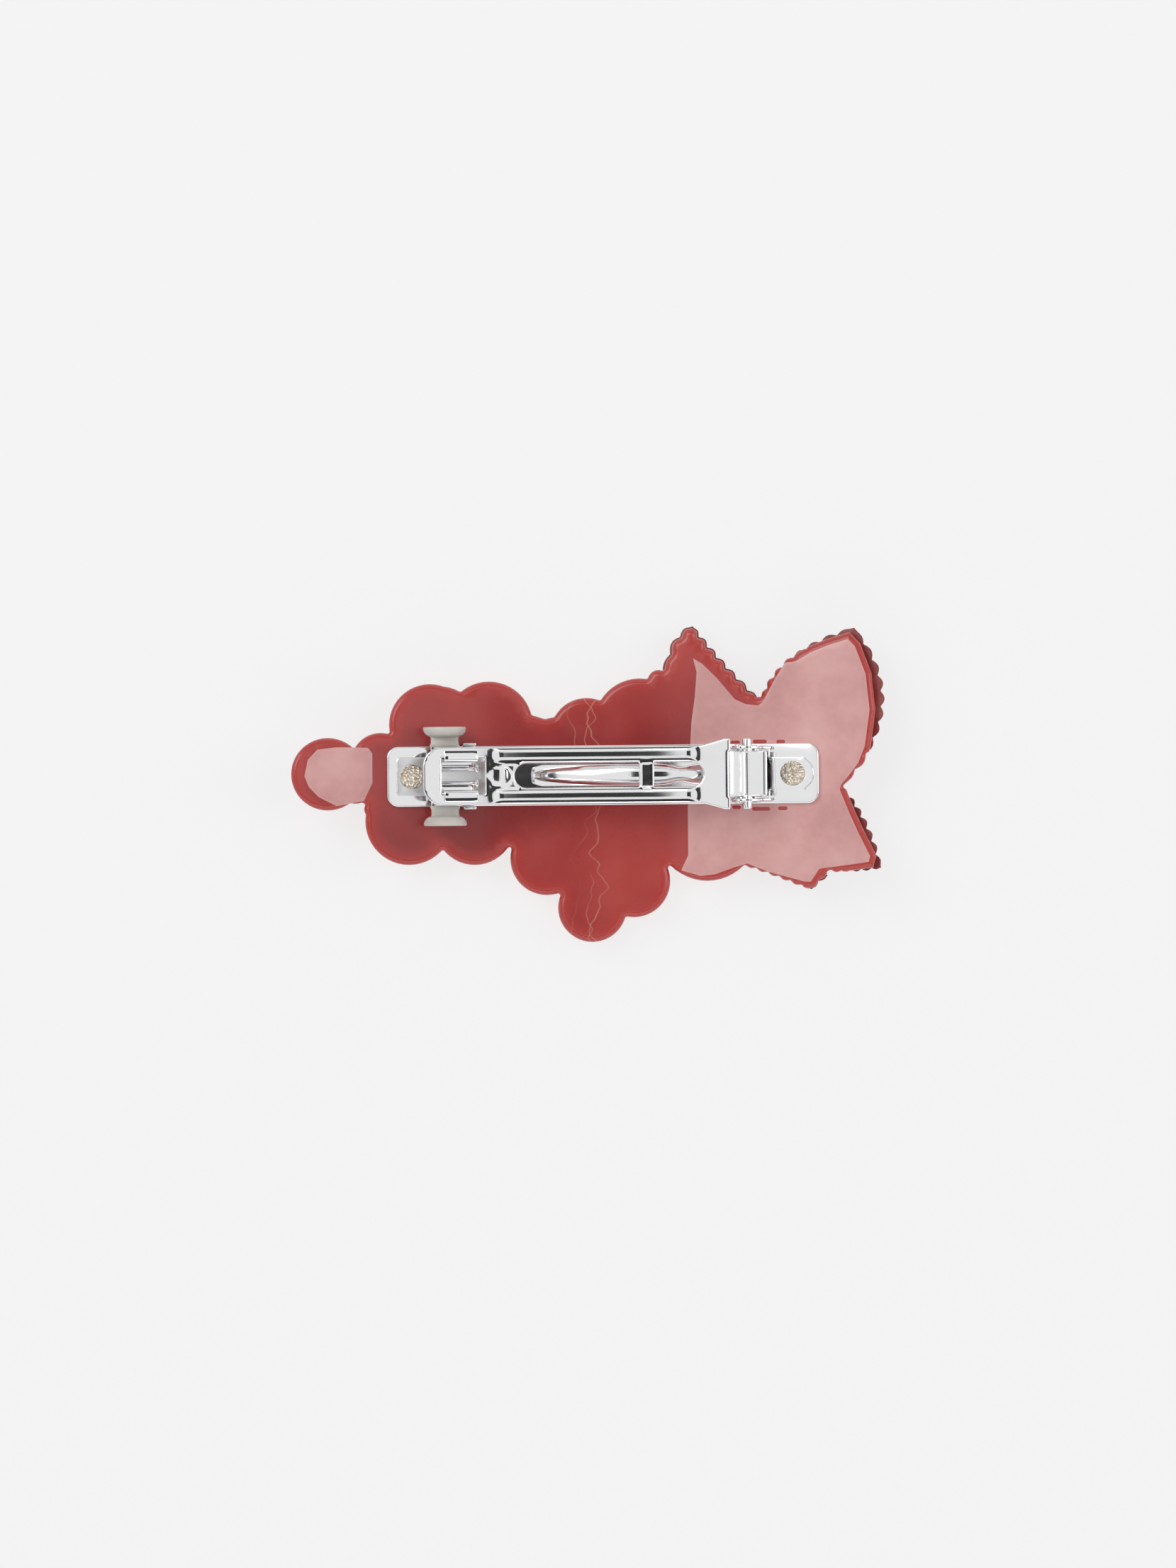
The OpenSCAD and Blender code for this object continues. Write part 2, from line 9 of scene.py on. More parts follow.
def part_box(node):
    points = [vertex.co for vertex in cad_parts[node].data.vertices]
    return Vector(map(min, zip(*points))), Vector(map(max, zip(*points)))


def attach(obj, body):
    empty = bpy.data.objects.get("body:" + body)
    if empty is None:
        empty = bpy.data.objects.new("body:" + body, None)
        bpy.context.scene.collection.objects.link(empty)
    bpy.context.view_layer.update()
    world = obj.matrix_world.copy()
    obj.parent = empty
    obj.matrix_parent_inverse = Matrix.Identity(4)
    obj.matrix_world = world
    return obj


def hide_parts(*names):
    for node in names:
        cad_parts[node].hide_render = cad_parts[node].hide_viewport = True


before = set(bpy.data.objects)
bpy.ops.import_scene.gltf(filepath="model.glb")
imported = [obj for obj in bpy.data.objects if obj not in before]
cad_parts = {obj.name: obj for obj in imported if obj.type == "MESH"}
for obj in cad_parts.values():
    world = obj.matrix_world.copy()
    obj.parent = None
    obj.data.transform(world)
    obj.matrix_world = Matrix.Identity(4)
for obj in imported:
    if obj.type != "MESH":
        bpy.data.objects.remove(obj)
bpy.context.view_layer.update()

print("stage: frame loaded")

# Lengths are in millimetres, and become metres when a mesh is made. The ornament and the clasp follow
# a roller of this radius about an axis along Y, and h is a height over the ornament's back.
bend = {"radius": 150.0, "axisHeight": 154.5, "claspY": 1.3}


def onBend(x, y, h):
    # Z is the axis height less the root of (radius - h) squared less x squared.
    z = bend["axisHeight"] - np.sqrt((bend["radius"] - h) ** 2 - x ** 2)
    return np.stack([x, y, z], axis=-1)


def clasp(along, across, z):
    # straight X and Z, with the clasp's middle line as zero across
    return np.stack([along, across + bend["claspY"], z], axis=-1)


def localPlace(x, h):
    # A flat frame that leans with the bend at x, h: the radius at that angle gives the place, the
    # tangent carries what lies along, and across is Y from the clasp's middle line.
    angle = math.asin(x / (bend["radius"] - h))
    cosine, sine = math.cos(angle), math.sin(angle)

    def place(along, across, height):
        r = bend["radius"] - height
        return clasp(r * sine + along * cosine, across + 0 * along,
                     bend["axisHeight"] - r * cosine + along * sine)
    return place


def nodeMesh(name):
    # a CAD node's points in millimetres with its doubles merged, and its triangles
    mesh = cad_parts[name].data
    points = np.empty(len(mesh.vertices) * 3)
    mesh.vertices.foreach_get("co", points)
    mesh.calc_loop_triangles()
    triangles = np.empty(len(mesh.loop_triangles) * 3, dtype=np.int32)
    mesh.loop_triangles.foreach_get("vertices", triangles)
    points = np.round(points.reshape(-1, 3) * 1000, 3)
    points, merged = np.unique(points, axis=0, return_inverse=True)
    return points, merged.reshape(-1)[triangles].reshape(-1, 3)


def signedArea(loop):
    # half the sum of x times the next y less the next x times y, positive when anticlockwise
    following = np.roll(loop, -1, axis=0)
    return 0.5 * np.sum(loop[:, 0] * following[:, 1] - following[:, 0] * loop[:, 1])


def loopsAt(name, height, tolerance=0.02):
    # The rims of a CAD node's face at this height: edges that only one of its triangles has, in
    # order. Following the rim in jumps that double each time finds each loop's first point in the
    # list, and then every point's steps to it. The outer loop comes first, anticlockwise, and holes
    # run clockwise.
    doublings = 14
    points, triangles = nodeMesh(name)
    reach = np.hypot(points[:, 0], bend["axisHeight"] - points[:, 2])
    level = np.abs(bend["radius"] - reach - height) < tolerance
    triangles = triangles[level[triangles].all(axis=1)]
    edges = np.concatenate([triangles[:, [0, 1]], triangles[:, [1, 2]], triangles[:, [2, 0]]])
    count = len(points)
    rim = edges[~np.isin(edges[:, 0] * count + edges[:, 1], edges[:, 1] * count + edges[:, 0])]
    follow = np.arange(count)
    follow[rim[:, 0]] = rim[:, 1]
    lowest, jump = np.arange(count), follow.copy()
    for _ in range(doublings):
        lowest = np.minimum(lowest, lowest[jump])
        jump = jump[jump]
    hop = np.where(np.arange(count) == lowest, np.arange(count), follow)
    steps = (hop != np.arange(count)).astype(int)
    for _ in range(doublings):
        steps = steps + steps[hop]
        hop = hop[hop]
    loops = []
    for start in np.unique(lowest[rim[:, 0]]):
        members = rim[lowest[rim[:, 0]] == start, 0]
        loops.append(points[members[np.argsort(-steps[members])], :2])
    loops.sort(key=lambda loop: -abs(signedArea(loop)))
    return [loop if (signedArea(loop) > 0) == (i == 0) else loop[::-1] for i, loop in enumerate(loops)]


def evenly(loop, step):
    # the same closed line with points at equal distances along it
    closed = np.vstack([loop, loop[:1]])
    run = np.concatenate([[0], np.cumsum(np.hypot(*np.diff(closed, axis=0).T))])
    at = np.linspace(0, run[-1], max(12, int(run[-1] / step)), endpoint=False)
    return np.stack([np.interp(at, run, closed[:, 0]), np.interp(at, run, closed[:, 1])], axis=1)


slabSize = 1500  # points compared with a rim at a time, to save memory


def nearest(points, rim):
    # the least distance from each point to the rim's points
    slabs = np.array_split(points, max(1, len(points) // slabSize))
    return np.concatenate([np.sqrt(((slab[:, None] - rim[None]) ** 2).sum(-1).min(1)) for slab in slabs])


def insideLoops(points, loops):
    # A point is inside when a line to its right crosses the rims an odd number of times.
    hits = np.zeros(len(points), dtype=int)
    for a in loops:
        b = np.roll(a, -1, axis=0)
        rise = np.where(b[:, 1] == a[:, 1], 1, b[:, 1] - a[:, 1])
        for slab in np.array_split(np.arange(len(points)), max(1, len(points) // slabSize)):
            x, y = points[slab, 0][:, None], points[slab, 1][:, None]
            crosses = (a[:, 1] > y) != (b[:, 1] > y)
            at = (b[:, 0] - a[:, 0]) * (y - a[:, 1]) / rise + a[:, 0]
            hits[slab] += (crosses & (x < at)).sum(1)
    return hits % 2 == 1


def newPiece(name, surface, material, body, node, attributes=None):
    # The surface is (points, blocks of faces, ...), with faces of one size in each block.
    mesh = bpy.data.meshes.new(name)
    faces = [face for block in surface[1] for face in block.tolist()]
    mesh.from_pydata((surface[0] * 0.001).tolist(), [], faces)
    mesh.validate()
    for key, values in (attributes or {}).items():
        layer = mesh.attributes.new(key, "FLOAT", "POINT")
        layer.data.foreach_set("value", values.astype(np.float32))
    mesh.polygons.foreach_set("use_smooth", np.ones(len(mesh.polygons), dtype=bool))
    mesh.materials.append(material)
    mesh.update()
    piece = bpy.data.objects.new(name, mesh)
    bpy.context.scene.collection.objects.link(piece)
    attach(piece, body)
    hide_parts(node)


def joined(surfaces):
    # several surfaces as one, each one's faces counted on from the points before it
    starts = np.cumsum([0] + [len(surface[0]) for surface in surfaces])
    points = np.concatenate([surface[0] for surface in surfaces])
    return points, [block + start for surface, start in zip(surfaces, starts) for block in surface[1]]


def edgeDrop(distance, radius):
    # A quarter round: radius less the root of radius squared less (radius - distance) squared.
    inward = np.clip(radius - distance, 0, radius)
    return radius - np.sqrt(np.maximum(radius ** 2 - inward ** 2, 0))


def plateSurface(loops, low, high, edgeLow, edgeHigh, place=onBend, step=0.16, grid=1.0, rings=5):
    # A plate between two heights, each a number or a function of x, y and the distance to the rim,
    # less a quarter round at the rim. Its points are the rims, rings inside them where the quarter
    # round needs them, and a square grid. They are joined by triangles, once for each side, and a
    # wall of quads joins the sides along the rims.
    loops = [evenly(loop, step) for loop in loops]
    rim = np.concatenate(loops)
    edge = max(edgeLow, edgeHigh)
    inner, innerDistance = [], []
    for loop in loops:
        tangent = np.roll(loop, -1, axis=0) - np.roll(loop, 1, axis=0)
        tangent /= np.linalg.norm(tangent, axis=1, keepdims=True)
        normal = np.stack([-tangent[:, 1], tangent[:, 0]], axis=1)
        for turn in np.linspace(0, math.pi / 2, rings + 1)[1:]:
            depth = edge * (1 - math.cos(turn))
            ring = loop + normal * depth
            keep = nearest(ring, rim) > 0.97 * depth  # drops what another stretch of rim is nearer to
            inner.append(ring[keep])
            innerDistance.append(np.full(keep.sum(), depth))
    corner, farCorner = rim.min(0), rim.max(0)
    gx, gy = np.meshgrid(np.arange(corner[0], farCorner[0], grid), np.arange(corner[1], farCorner[1], grid))
    square = np.stack([gx.ravel() + 0.0137, gy.ravel() + 0.0071], axis=1)  # kept off the rims' own points
    square = square[insideLoops(square, loops)]
    squareDistance = nearest(square, rim)
    keep = squareDistance > edge + 0.3 * grid
    points = np.concatenate([rim] + inner + [square[keep]])
    distance = np.concatenate([np.zeros(len(rim))] + innerDistance + [squareDistance[keep]])
    rimEdges, start = [], 0
    for loop in loops:
        order = np.arange(len(loop)) + start
        rimEdges.append(np.stack([order, np.roll(order, -1)], axis=1))
        start += len(loop)
    rimEdges = np.concatenate(rimEdges)
    cut = delaunay_2d_cdt([Vector(p) for p in points.tolist()], rimEdges.tolist(), [], 0, 1e-5, True)
    source = np.array([ids[0] if ids else 0 for ids in cut[3]])
    triangles = source[np.array([face for face in cut[2] if len(face) == 3])]
    triangles = triangles[insideLoops(points[triangles].mean(axis=1), loops)]
    a, b, c = (points[triangles[:, i]] for i in range(3))
    clockwise = (b[:, 0] - a[:, 0]) * (c[:, 1] - a[:, 1]) < (b[:, 1] - a[:, 1]) * (c[:, 0] - a[:, 0])
    triangles[clockwise] = triangles[clockwise][:, ::-1]
    x, y = points[:, 0], points[:, 1]
    top = (high(x, y, distance) if callable(high) else high) - edgeDrop(distance, edgeHigh)
    bottom = (low(x, y, distance) if callable(low) else low) + edgeDrop(distance, edgeLow)
    count = len(points)
    first, second = rimEdges[:, 0], rimEdges[:, 1]
    walls = np.stack([second, first, first + count, second + count], axis=1)
    both = np.concatenate([place(x, y, top), place(x, y, bottom)])
    return both, [triangles, triangles[:, ::-1] + count, walls], np.concatenate([distance, distance])


def gridFaces(rows, columns):
    # quads between neighbouring rows of a grid whose columns close on themselves
    r, c = np.meshgrid(np.arange(rows - 1), np.arange(columns), indexing="ij")
    a, b = r * columns + c, r * columns + (c + 1) % columns
    return np.stack([a, b, b + columns, a + columns], axis=-1).reshape(-1, 4)


def endFaces(rows, columns):
    # one face over the first row and one over the last
    return [np.arange(columns)[None, ::-1], np.arange((rows - 1) * columns, rows * columns)[None]]


def outwardFaces(points, blocks):
    # All faces are turned round where the closed shape's volume, summed over its quads, is negative.
    quads = blocks[0]
    centre = points.mean(axis=0)
    a, b, c, d = (points[quads[:, i]] - centre for i in range(4))
    volume = (np.cross(a, b) * c).sum() + (np.cross(a, c) * d).sum()
    return blocks if volume > 0 else [block[:, ::-1] for block in blocks]


def sectionLine(thick, radius):
    # Round a ribbon: the shift from the corner's middle, the height out, and how far across (-1 to 1)
    # that middle is. The flat faces have points between the corners so that they can be crowned.
    turn = np.linspace(0, math.pi / 2, 5)
    across = np.linspace(1, -1, 9)[1:-1]
    flat = np.zeros_like(across)
    parts = []
    for quarter, (sx, sy) in enumerate(((1, 1), (-1, 1), (-1, -1), (1, -1))):
        a = turn + quarter * math.pi / 2
        parts.append(np.stack([radius * np.cos(a), sy * (thick / 2 - radius) + radius * np.sin(a),
                               np.full(5, float(sx))], axis=1))
        if quarter in (0, 2):
            parts.append(np.stack([flat, flat + sy * thick / 2, sy * across], axis=1))
    return np.concatenate(parts)


def ribbonSurface(path, width, thick, radius, place, middle=0.0, widths=None, crown=0.0):
    # A rounded section is carried along a path of (along, height) points, square to it. A crown
    # lowers the section by the square of the share of the half width. The ends are drawn in by a
    # quarter round and closed.
    path = np.asarray(path, dtype=float)
    tangent = np.gradient(path, axis=0)
    tangent /= np.linalg.norm(tangent, axis=1, keepdims=True)
    turn = np.linspace(math.pi / 2, 0, 4)[:3]
    drawnIn, lead = radius * (1 - np.cos(turn)), radius * np.sin(turn)
    head = path[0] + tangent[0] * (radius - lead)[:, None]
    tail = path[-1] - tangent[-1] * (radius - lead)[:, None]
    kept = np.linalg.norm(path - path[0], axis=1) > radius
    kept &= np.linalg.norm(path - path[-1], axis=1) > radius
    line = np.concatenate([head, path[kept], tail[::-1]])
    inset = np.concatenate([drawnIn, np.zeros(kept.sum()), drawnIn[::-1]])
    wide = np.full(len(path), width) if widths is None else np.asarray(widths, dtype=float)
    wide = np.concatenate([np.full(3, wide[0]), wide[kept], np.full(3, wide[-1])])
    way = np.concatenate([np.repeat(tangent[:1], 3, 0), tangent[kept], np.repeat(tangent[-1:], 3, 0)])
    section = sectionLine(thick, radius)
    half = wide[:, None] / 2 - inset[:, None]
    sideways = section[:, 2] * (half - radius) + section[:, 0]
    outward = np.sign(section[:, 1]) * np.maximum(np.abs(section[:, 1]) - inset[:, None], 0.01)
    outward = outward - crown * (2 * sideways / wide[:, None]) ** 2
    along = line[:, 0][:, None] - way[:, 1][:, None] * outward
    height = line[:, 1][:, None] + way[:, 0][:, None] * outward
    points = place(along.ravel(), (sideways + middle).ravel(), height.ravel())
    rows, columns = along.shape
    return points, outwardFaces(points, [gridFaces(rows, columns)] + endFaces(rows, columns))


def turnedPoints(profile, origin, axis, place, segments):
    # Each (out, along) point of the profile goes round the axis: origin plus out times the cosine
    # and sine of the turn on two square directions, plus along times the axis.
    axis = np.asarray(axis, dtype=float)
    axis /= np.linalg.norm(axis)
    side = np.cross(axis, [0.3, 0.5, 0.81] if abs(axis[2]) < 0.9 else [1.0, 0.2, 0.0])
    side /= np.linalg.norm(side)
    profile = np.asarray(profile, dtype=float)
    turn = np.linspace(0, 2 * math.pi, segments, endpoint=False)
    ring = np.cos(turn)[:, None] * side + np.sin(turn)[:, None] * np.cross(axis, side)
    points = np.asarray(origin) + profile[:, 0][:, None, None] * ring + profile[:, 1][:, None, None] * axis
    points = points.reshape(-1, 3)
    return place(points[:, 0], points[:, 1], points[:, 2])


def turnedSurface(profile, origin, axis, place, segments=48):
    # a profile carried round an axis, closed by a small face at each end
    points = turnedPoints(profile, origin, axis, place, segments)
    rows = len(profile)
    return points, outwardFaces(points, [gridFaces(rows, segments)] + endFaces(rows, segments))


def ringSurface(profile, origin, axis, place, segments=32):
    # a closed profile carried round an axis, so that its last row joins its first
    points = turnedPoints(profile, origin, axis, place, segments)
    last = (len(profile) - 1) * segments
    turn = np.arange(segments)
    following = (turn + 1) % segments
    seam = np.stack([turn + last, following + last, following, turn], axis=1)
    return points, outwardFaces(points, [np.concatenate([gridFaces(len(profile), segments), seam])])


def pinProfile(radius, start, end, eased):
    # a round bar from start to end, with a quarter round at each end
    turn = np.linspace(0, math.pi / 2, 5)
    out = radius - eased + eased * np.sin(turn)
    first = np.stack([out, start + eased - eased * np.cos(turn)], axis=1)
    last = first[::-1] * [1, -1] + [0, start + end]
    return np.concatenate([[[0.02, start]], first, last, [[0.02, end]]])


def newMaterial(name, **values):
    material = bpy.data.materials.new(name)
    material.use_nodes = True
    shader = material.node_tree.nodes["Principled BSDF"]
    for key, value in values.items():
        shader.inputs[key].default_value = value
    return material, material.node_tree, shader


def objectNoise(tree, scale, detail=3.0, stretch=(1, 1, 1), rough=0.5):
    # noise on the piece's own coordinates, which are in metres
    coordinates = tree.nodes.new("ShaderNodeTexCoord")
    mapping = tree.nodes.new("ShaderNodeMapping")
    mapping.inputs["Scale"].default_value = stretch
    noise = tree.nodes.new("ShaderNodeTexNoise")
    noise.inputs["Scale"].default_value = scale
    noise.inputs["Detail"].default_value = detail
    noise.inputs["Roughness"].default_value = rough
    tree.links.new(coordinates.outputs["Object"], mapping.inputs["Vector"])
    tree.links.new(mapping.outputs["Vector"], noise.inputs["Vector"])
    return noise.outputs["Fac"]


def ramp(tree, source, stops):
    node = tree.nodes.new("ShaderNodeValToRGB")
    elements = node.color_ramp.elements
    while len(elements) < len(stops):
        elements.new(0.5)
    for element, (at, colour) in zip(elements, stops):
        element.position = at
        element.color = (*colour, 1)
    tree.links.new(source, node.inputs["Fac"])
    return node.outputs["Color"]


def feed(tree, socket, value):
    # a number or a colour is set on the socket, and anything else is linked to it
    if isinstance(value, (int, float)):
        socket.default_value = value
    elif isinstance(value, tuple):
        socket.default_value = (*value, 1)
    else:
        tree.links.new(value, socket)


def mixColours(tree, factor, first, second):
    node = tree.nodes.new("ShaderNodeMix")
    node.data_type = "RGBA"
    for socket, value in ((node.inputs[0], factor), (node.inputs[6], first), (node.inputs[7], second)):
        feed(tree, socket, value)
    return node.outputs[2]


def mathNode(tree, operation, first, second):
    node = tree.nodes.new("ShaderNodeMath")
    node.operation = operation
    for socket, value in zip(node.inputs, (first, second)):
        feed(tree, socket, value)
    return node.outputs[0]


def remap(tree, source, low, high, toLow, toHigh):
    node = tree.nodes.new("ShaderNodeMapRange")
    for key, value in zip(("From Min", "From Max", "To Min", "To Max"), (low, high, toLow, toHigh)):
        node.inputs[key].default_value = value
    tree.links.new(source, node.inputs["Value"])
    return node.outputs["Result"]


def attributeValue(tree, name):
    node = tree.nodes.new("ShaderNodeAttribute")
    node.attribute_name = name
    return node.outputs["Fac"]


def bump(tree, shader, source, distance, strength):
    node = tree.nodes.new("ShaderNodeBump")
    node.inputs["Strength"].default_value = strength
    node.inputs["Distance"].default_value = distance
    tree.links.new(source, node.inputs["Height"])
    tree.links.new(node.outputs["Normal"], shader.inputs["Normal"])


def linear(red, green, blue):
    # a screen colour of 0 to 255 as the light that Blender works with
    return tuple(((v / 255 + 0.055) / 1.055) ** 2.4 for v in (red, green, blue))


# The rim tone is a painted highlight along the rounded edges, and shows within its reach of the edge. Each flow
# line has its X in metres, the place of its wander and its half width.
redResinLook = {"deep": linear(150, 46, 46), "body": linear(172, 62, 60), "warm": linear(188, 74, 68),
                "rim": linear(192, 66, 60), "streak": linear(208, 140, 120), "rimHighlightReach": 2.2,
                "flowLines": [(-0.0019, 0.3, 0.00006), (-0.0004, 4.1, 0.00005), (0.0012, 7.7, 0.00007)],
                "wander": 0.009}


def flowLine(tree, middle, seed, width):
    # 1 where X is within the width of a line that wanders as noise of Y, faded by a slower noise
    coordinates = tree.nodes.new("ShaderNodeTexCoord")
    split = tree.nodes.new("ShaderNodeSeparateXYZ")
    tree.links.new(coordinates.outputs["Object"], split.inputs[0])
    join = tree.nodes.new("ShaderNodeCombineXYZ")
    join.inputs["X"].default_value = seed
    tree.links.new(split.outputs["Y"], join.inputs["Y"])
    noise = tree.nodes.new("ShaderNodeTexNoise")
    noise.inputs["Scale"].default_value = 170
    noise.inputs["Detail"].default_value = 2
    tree.links.new(join.outputs[0], noise.inputs["Vector"])
    swing = mathNode(tree, "SUBTRACT", noise.outputs["Fac"], 0.5)
    lineX = mathNode(tree, "ADD", mathNode(tree, "MULTIPLY", swing, redResinLook["wander"]), middle)
    off = mathNode(tree, "ABSOLUTE", mathNode(tree, "SUBTRACT", split.outputs["X"], lineX), 0)
    line = remap(tree, off, width * 0.4, width * 2.2, 1, 0)
    fade = remap(tree, objectNoise(tree, 130, 1), 0.42, 0.6, 0.05, 0.75)
    return mathNode(tree, "MULTIPLY", mathNode(tree, "MULTIPLY", line, fade), attributeValue(tree, "flow"))


def makeRedResin():
    look = redResinLook
    material, tree, shader = newMaterial("redResin", **{"Coat Weight": 0.3, "Coat Roughness": 0.08,
                                                        "Specular IOR Level": 0.4})
    stops = [(0.35, look["deep"]), (0.52, look["body"]), (0.7, look["warm"])]
    cloud = ramp(tree, objectNoise(tree, 45, 3), stops)
    # painted highlight: the lighter rim tone is mixed in near the edges, fading with the distance from them
    rim = remap(tree, attributeValue(tree, "rim"), 0.2, look["rimHighlightReach"], 0.85, 0.0)
    colour = mixColours(tree, rim, cloud, look["rim"])
    for middle, seed, width in look["flowLines"]:
        colour = mixColours(tree, flowLine(tree, middle, seed, width), colour, look["streak"])
    tree.links.new(colour, shader.inputs["Base Color"])
    tree.links.new(remap(tree, objectNoise(tree, 220, 4), 0.3, 0.7, 0.2, 0.34), shader.inputs["Roughness"])
    bump(tree, shader, objectNoise(tree, 90, 3), 0.0004, 0.25)
    return material


pinkPanelLook = {"low": linear(200, 142, 140), "body": linear(216, 158, 155), "pale": linear(228, 176, 172)}


def makePinkPanel():
    look = pinkPanelLook
    material, tree, shader = newMaterial("pinkPanel", **{"Roughness": 0.34, "Coat Weight": 0.35,
                                                         "Coat Roughness": 0.12})
    stops = [(0.3, look["low"]), (0.5, look["body"]), (0.72, look["pale"])]
    cloud = ramp(tree, objectNoise(tree, 110, 4, rough=0.6), stops)
    grain = remap(tree, objectNoise(tree, 1400, 2), 0.3, 0.7, 0.0, 0.12)
    colour = mixColours(tree, grain, cloud, look["pale"])
    # painted highlight: the pale tone is mixed in along the panel's edge
    rim = remap(tree, attributeValue(tree, "rim"), 0.0, 0.35, 0.4, 0.0)
    tree.links.new(mixColours(tree, rim, colour, look["pale"]), shader.inputs["Base Color"])
    bump(tree, shader, objectNoise(tree, 320, 3), 0.0002, 0.2)
    return material


leafLook = {"dark": linear(118, 42, 42), "body": linear(152, 58, 54), "dust": linear(176, 122, 112)}


def makeLeafRed():
    look = leafLook
    material, tree, shader = newMaterial("leafRed", **{"Roughness": 0.42, "Coat Weight": 0.2,
                                                       "Coat Roughness": 0.2})
    stops = [(0.3, look["dark"]), (0.5, look["body"]), (0.76, look["dust"])]
    cloud = ramp(tree, objectNoise(tree, 150, 4, rough=0.65), stops)
    # painted shade: the dark tone is mixed in along the leaf's edges
    rim = remap(tree, attributeValue(tree, "rim"), 0.0, 0.9, 0.45, 0.0)
    tree.links.new(mixColours(tree, rim, cloud, look["dark"]), shader.inputs["Base Color"])
    bump(tree, shader, objectNoise(tree, 700, 4), 0.0002, 0.35)
    return material


petalLook = {"heart": linear(132, 28, 34), "body": linear(186, 56, 56), "tip": linear(222, 120, 112)}


def makePetalRed():
    look = petalLook
    material, tree, shader = newMaterial("petalRed", **{"Roughness": 0.24, "Coat Weight": 0.5,
                                                        "Coat Roughness": 0.07})
    stops = [(0.05, look["heart"]), (0.45, look["body"]), (0.98, look["tip"])]
    colour = ramp(tree, attributeValue(tree, "away"), stops)
    streak = remap(tree, objectNoise(tree, 260, 4), 0.35, 0.7, 0.0, 0.3)
    tree.links.new(mixColours(tree, streak, colour, look["body"]), shader.inputs["Base Color"])
    bump(tree, shader, objectNoise(tree, 160, 3), 0.0003, 0.2)
    return material


def makeSteel(name, tone, roughLow, roughHigh, wave):
    # polished plating: fine wear along X in the roughness, and a slow wave in the surface
    material, tree, shader = newMaterial(name, **{"Metallic": 1.0, "Base Color": (*tone, 1)})
    wear = objectNoise(tree, 500, 4, (0.15, 1.0, 1.0))
    tree.links.new(remap(tree, wear, 0.3, 0.75, roughLow, roughHigh), shader.inputs["Roughness"])
    bump(tree, shader, objectNoise(tree, 110, 3, (0.5, 1, 1)), 0.00025, wave)
    return material


rivetLook = {"raised": linear(236, 228, 214), "sunk": linear(188, 176, 160), "dents": 2600}


def makeHammeredSteel():
    material, tree, shader = newMaterial("hammeredSteel", **{"Metallic": 1.0})
    cell = tree.nodes.new("ShaderNodeTexVoronoi")
    cell.inputs["Scale"].default_value = rivetLook["dents"]
    coordinates = tree.nodes.new("ShaderNodeTexCoord")
    tree.links.new(coordinates.outputs["Object"], cell.inputs["Vector"])
    colour = ramp(tree, cell.outputs["Distance"], [(0.1, rivetLook["raised"]), (0.7, rivetLook["sunk"])])
    tree.links.new(colour, shader.inputs["Base Color"])
    tree.links.new(remap(tree, objectNoise(tree, 1500, 3), 0.3, 0.7, 0.22, 0.5), shader.inputs["Roughness"])
    bump(tree, shader, cell.outputs["Distance"], 0.0003, 0.8)
    return material


padLook = {"shade": linear(226, 220, 210), "light": linear(246, 243, 238)}


def makePadPlastic():
    material, tree, shader = newMaterial("padPlastic", **{"Roughness": 0.32, "Transmission Weight": 0.25,
                                                          "Subsurface Weight": 0.2, "IOR": 1.45,
                                                          "Subsurface Scale": 0.002})
    cloud = ramp(tree, objectNoise(tree, 260, 3), [(0.3, padLook["shade"]), (0.7, padLook["light"])])
    tree.links.new(cloud, shader.inputs["Base Color"])
    bump(tree, shader, objectNoise(tree, 900, 2), 0.0001, 0.2)
    return material


redResin, pinkPanel, leafRed, petalRed = makeRedResin(), makePinkPanel(), makeLeafRed(), makePetalRed()
platedSteel = makeSteel("platedSteel", (0.84, 0.84, 0.85), 0.05, 0.13, 0.25)
satinSteel = makeSteel("satinSteel", (0.8, 0.8, 0.8), 0.2, 0.36, 0.5)
hammeredSteel, padPlastic = makeHammeredSteel(), makePadPlastic()
print("stage: materials made")


plate = {"low": -2.0, "edgeFront": 0.3, "edgeBack": 0.85, "ripple": 0.012,
         "flowX": 0.4, "flowHalf": 3.2}


def makeBackPlate():
    # The back has a very slight ripple, a sine of x times a cosine of y. The flow attribute is 1 near
    # the middle line and falls to 0 with the distance from it.
    def high(x, y, distance):
        return -plate["ripple"] * (1 + np.sin(x * 0.45) * np.cos(y * 0.38))
    surface = plateSurface(loopsAt("back_plate", plate["low"])[:1], plate["low"], high,
                           plate["edgeFront"], plate["edgeBack"])
    flow = np.clip(1.3 - np.abs(surface[0][:, 0] - plate["flowX"]) / plate["flowHalf"], 0, 1)
    newPiece("backPlate", surface, redResin, "ornament", "back_plate",
             {"rim": surface[2], "flow": flow})


panel = {"sunk": 0.06, "proud": 0.035, "edge": 0.09}


def makePanel(name, node):
    surface = plateSurface(loopsAt(node, 0.0), -panel["sunk"], panel["proud"], 0.0, panel["edge"], step=0.13)
    newPiece(name, surface, pinkPanel, "ornament", node, {"rim": surface[2]})


# Each leaf runs from its base to its tip, as (x, y) points.
leaf = {"low": -3.5, "edgeFront": 0.35, "edgeBack": 0.12, "veinDepth": 0.32, "veinStep": 2.1, "veinHalf": 0.28,
        "ribHalf": 0.35,
        "lines": [((15, 8), (14.8, 22.1)), ((21, 3), (37.2, 21.6)), ((21, -1), (40.7, -12)),
                  ((19, -6), (31, -15))]}


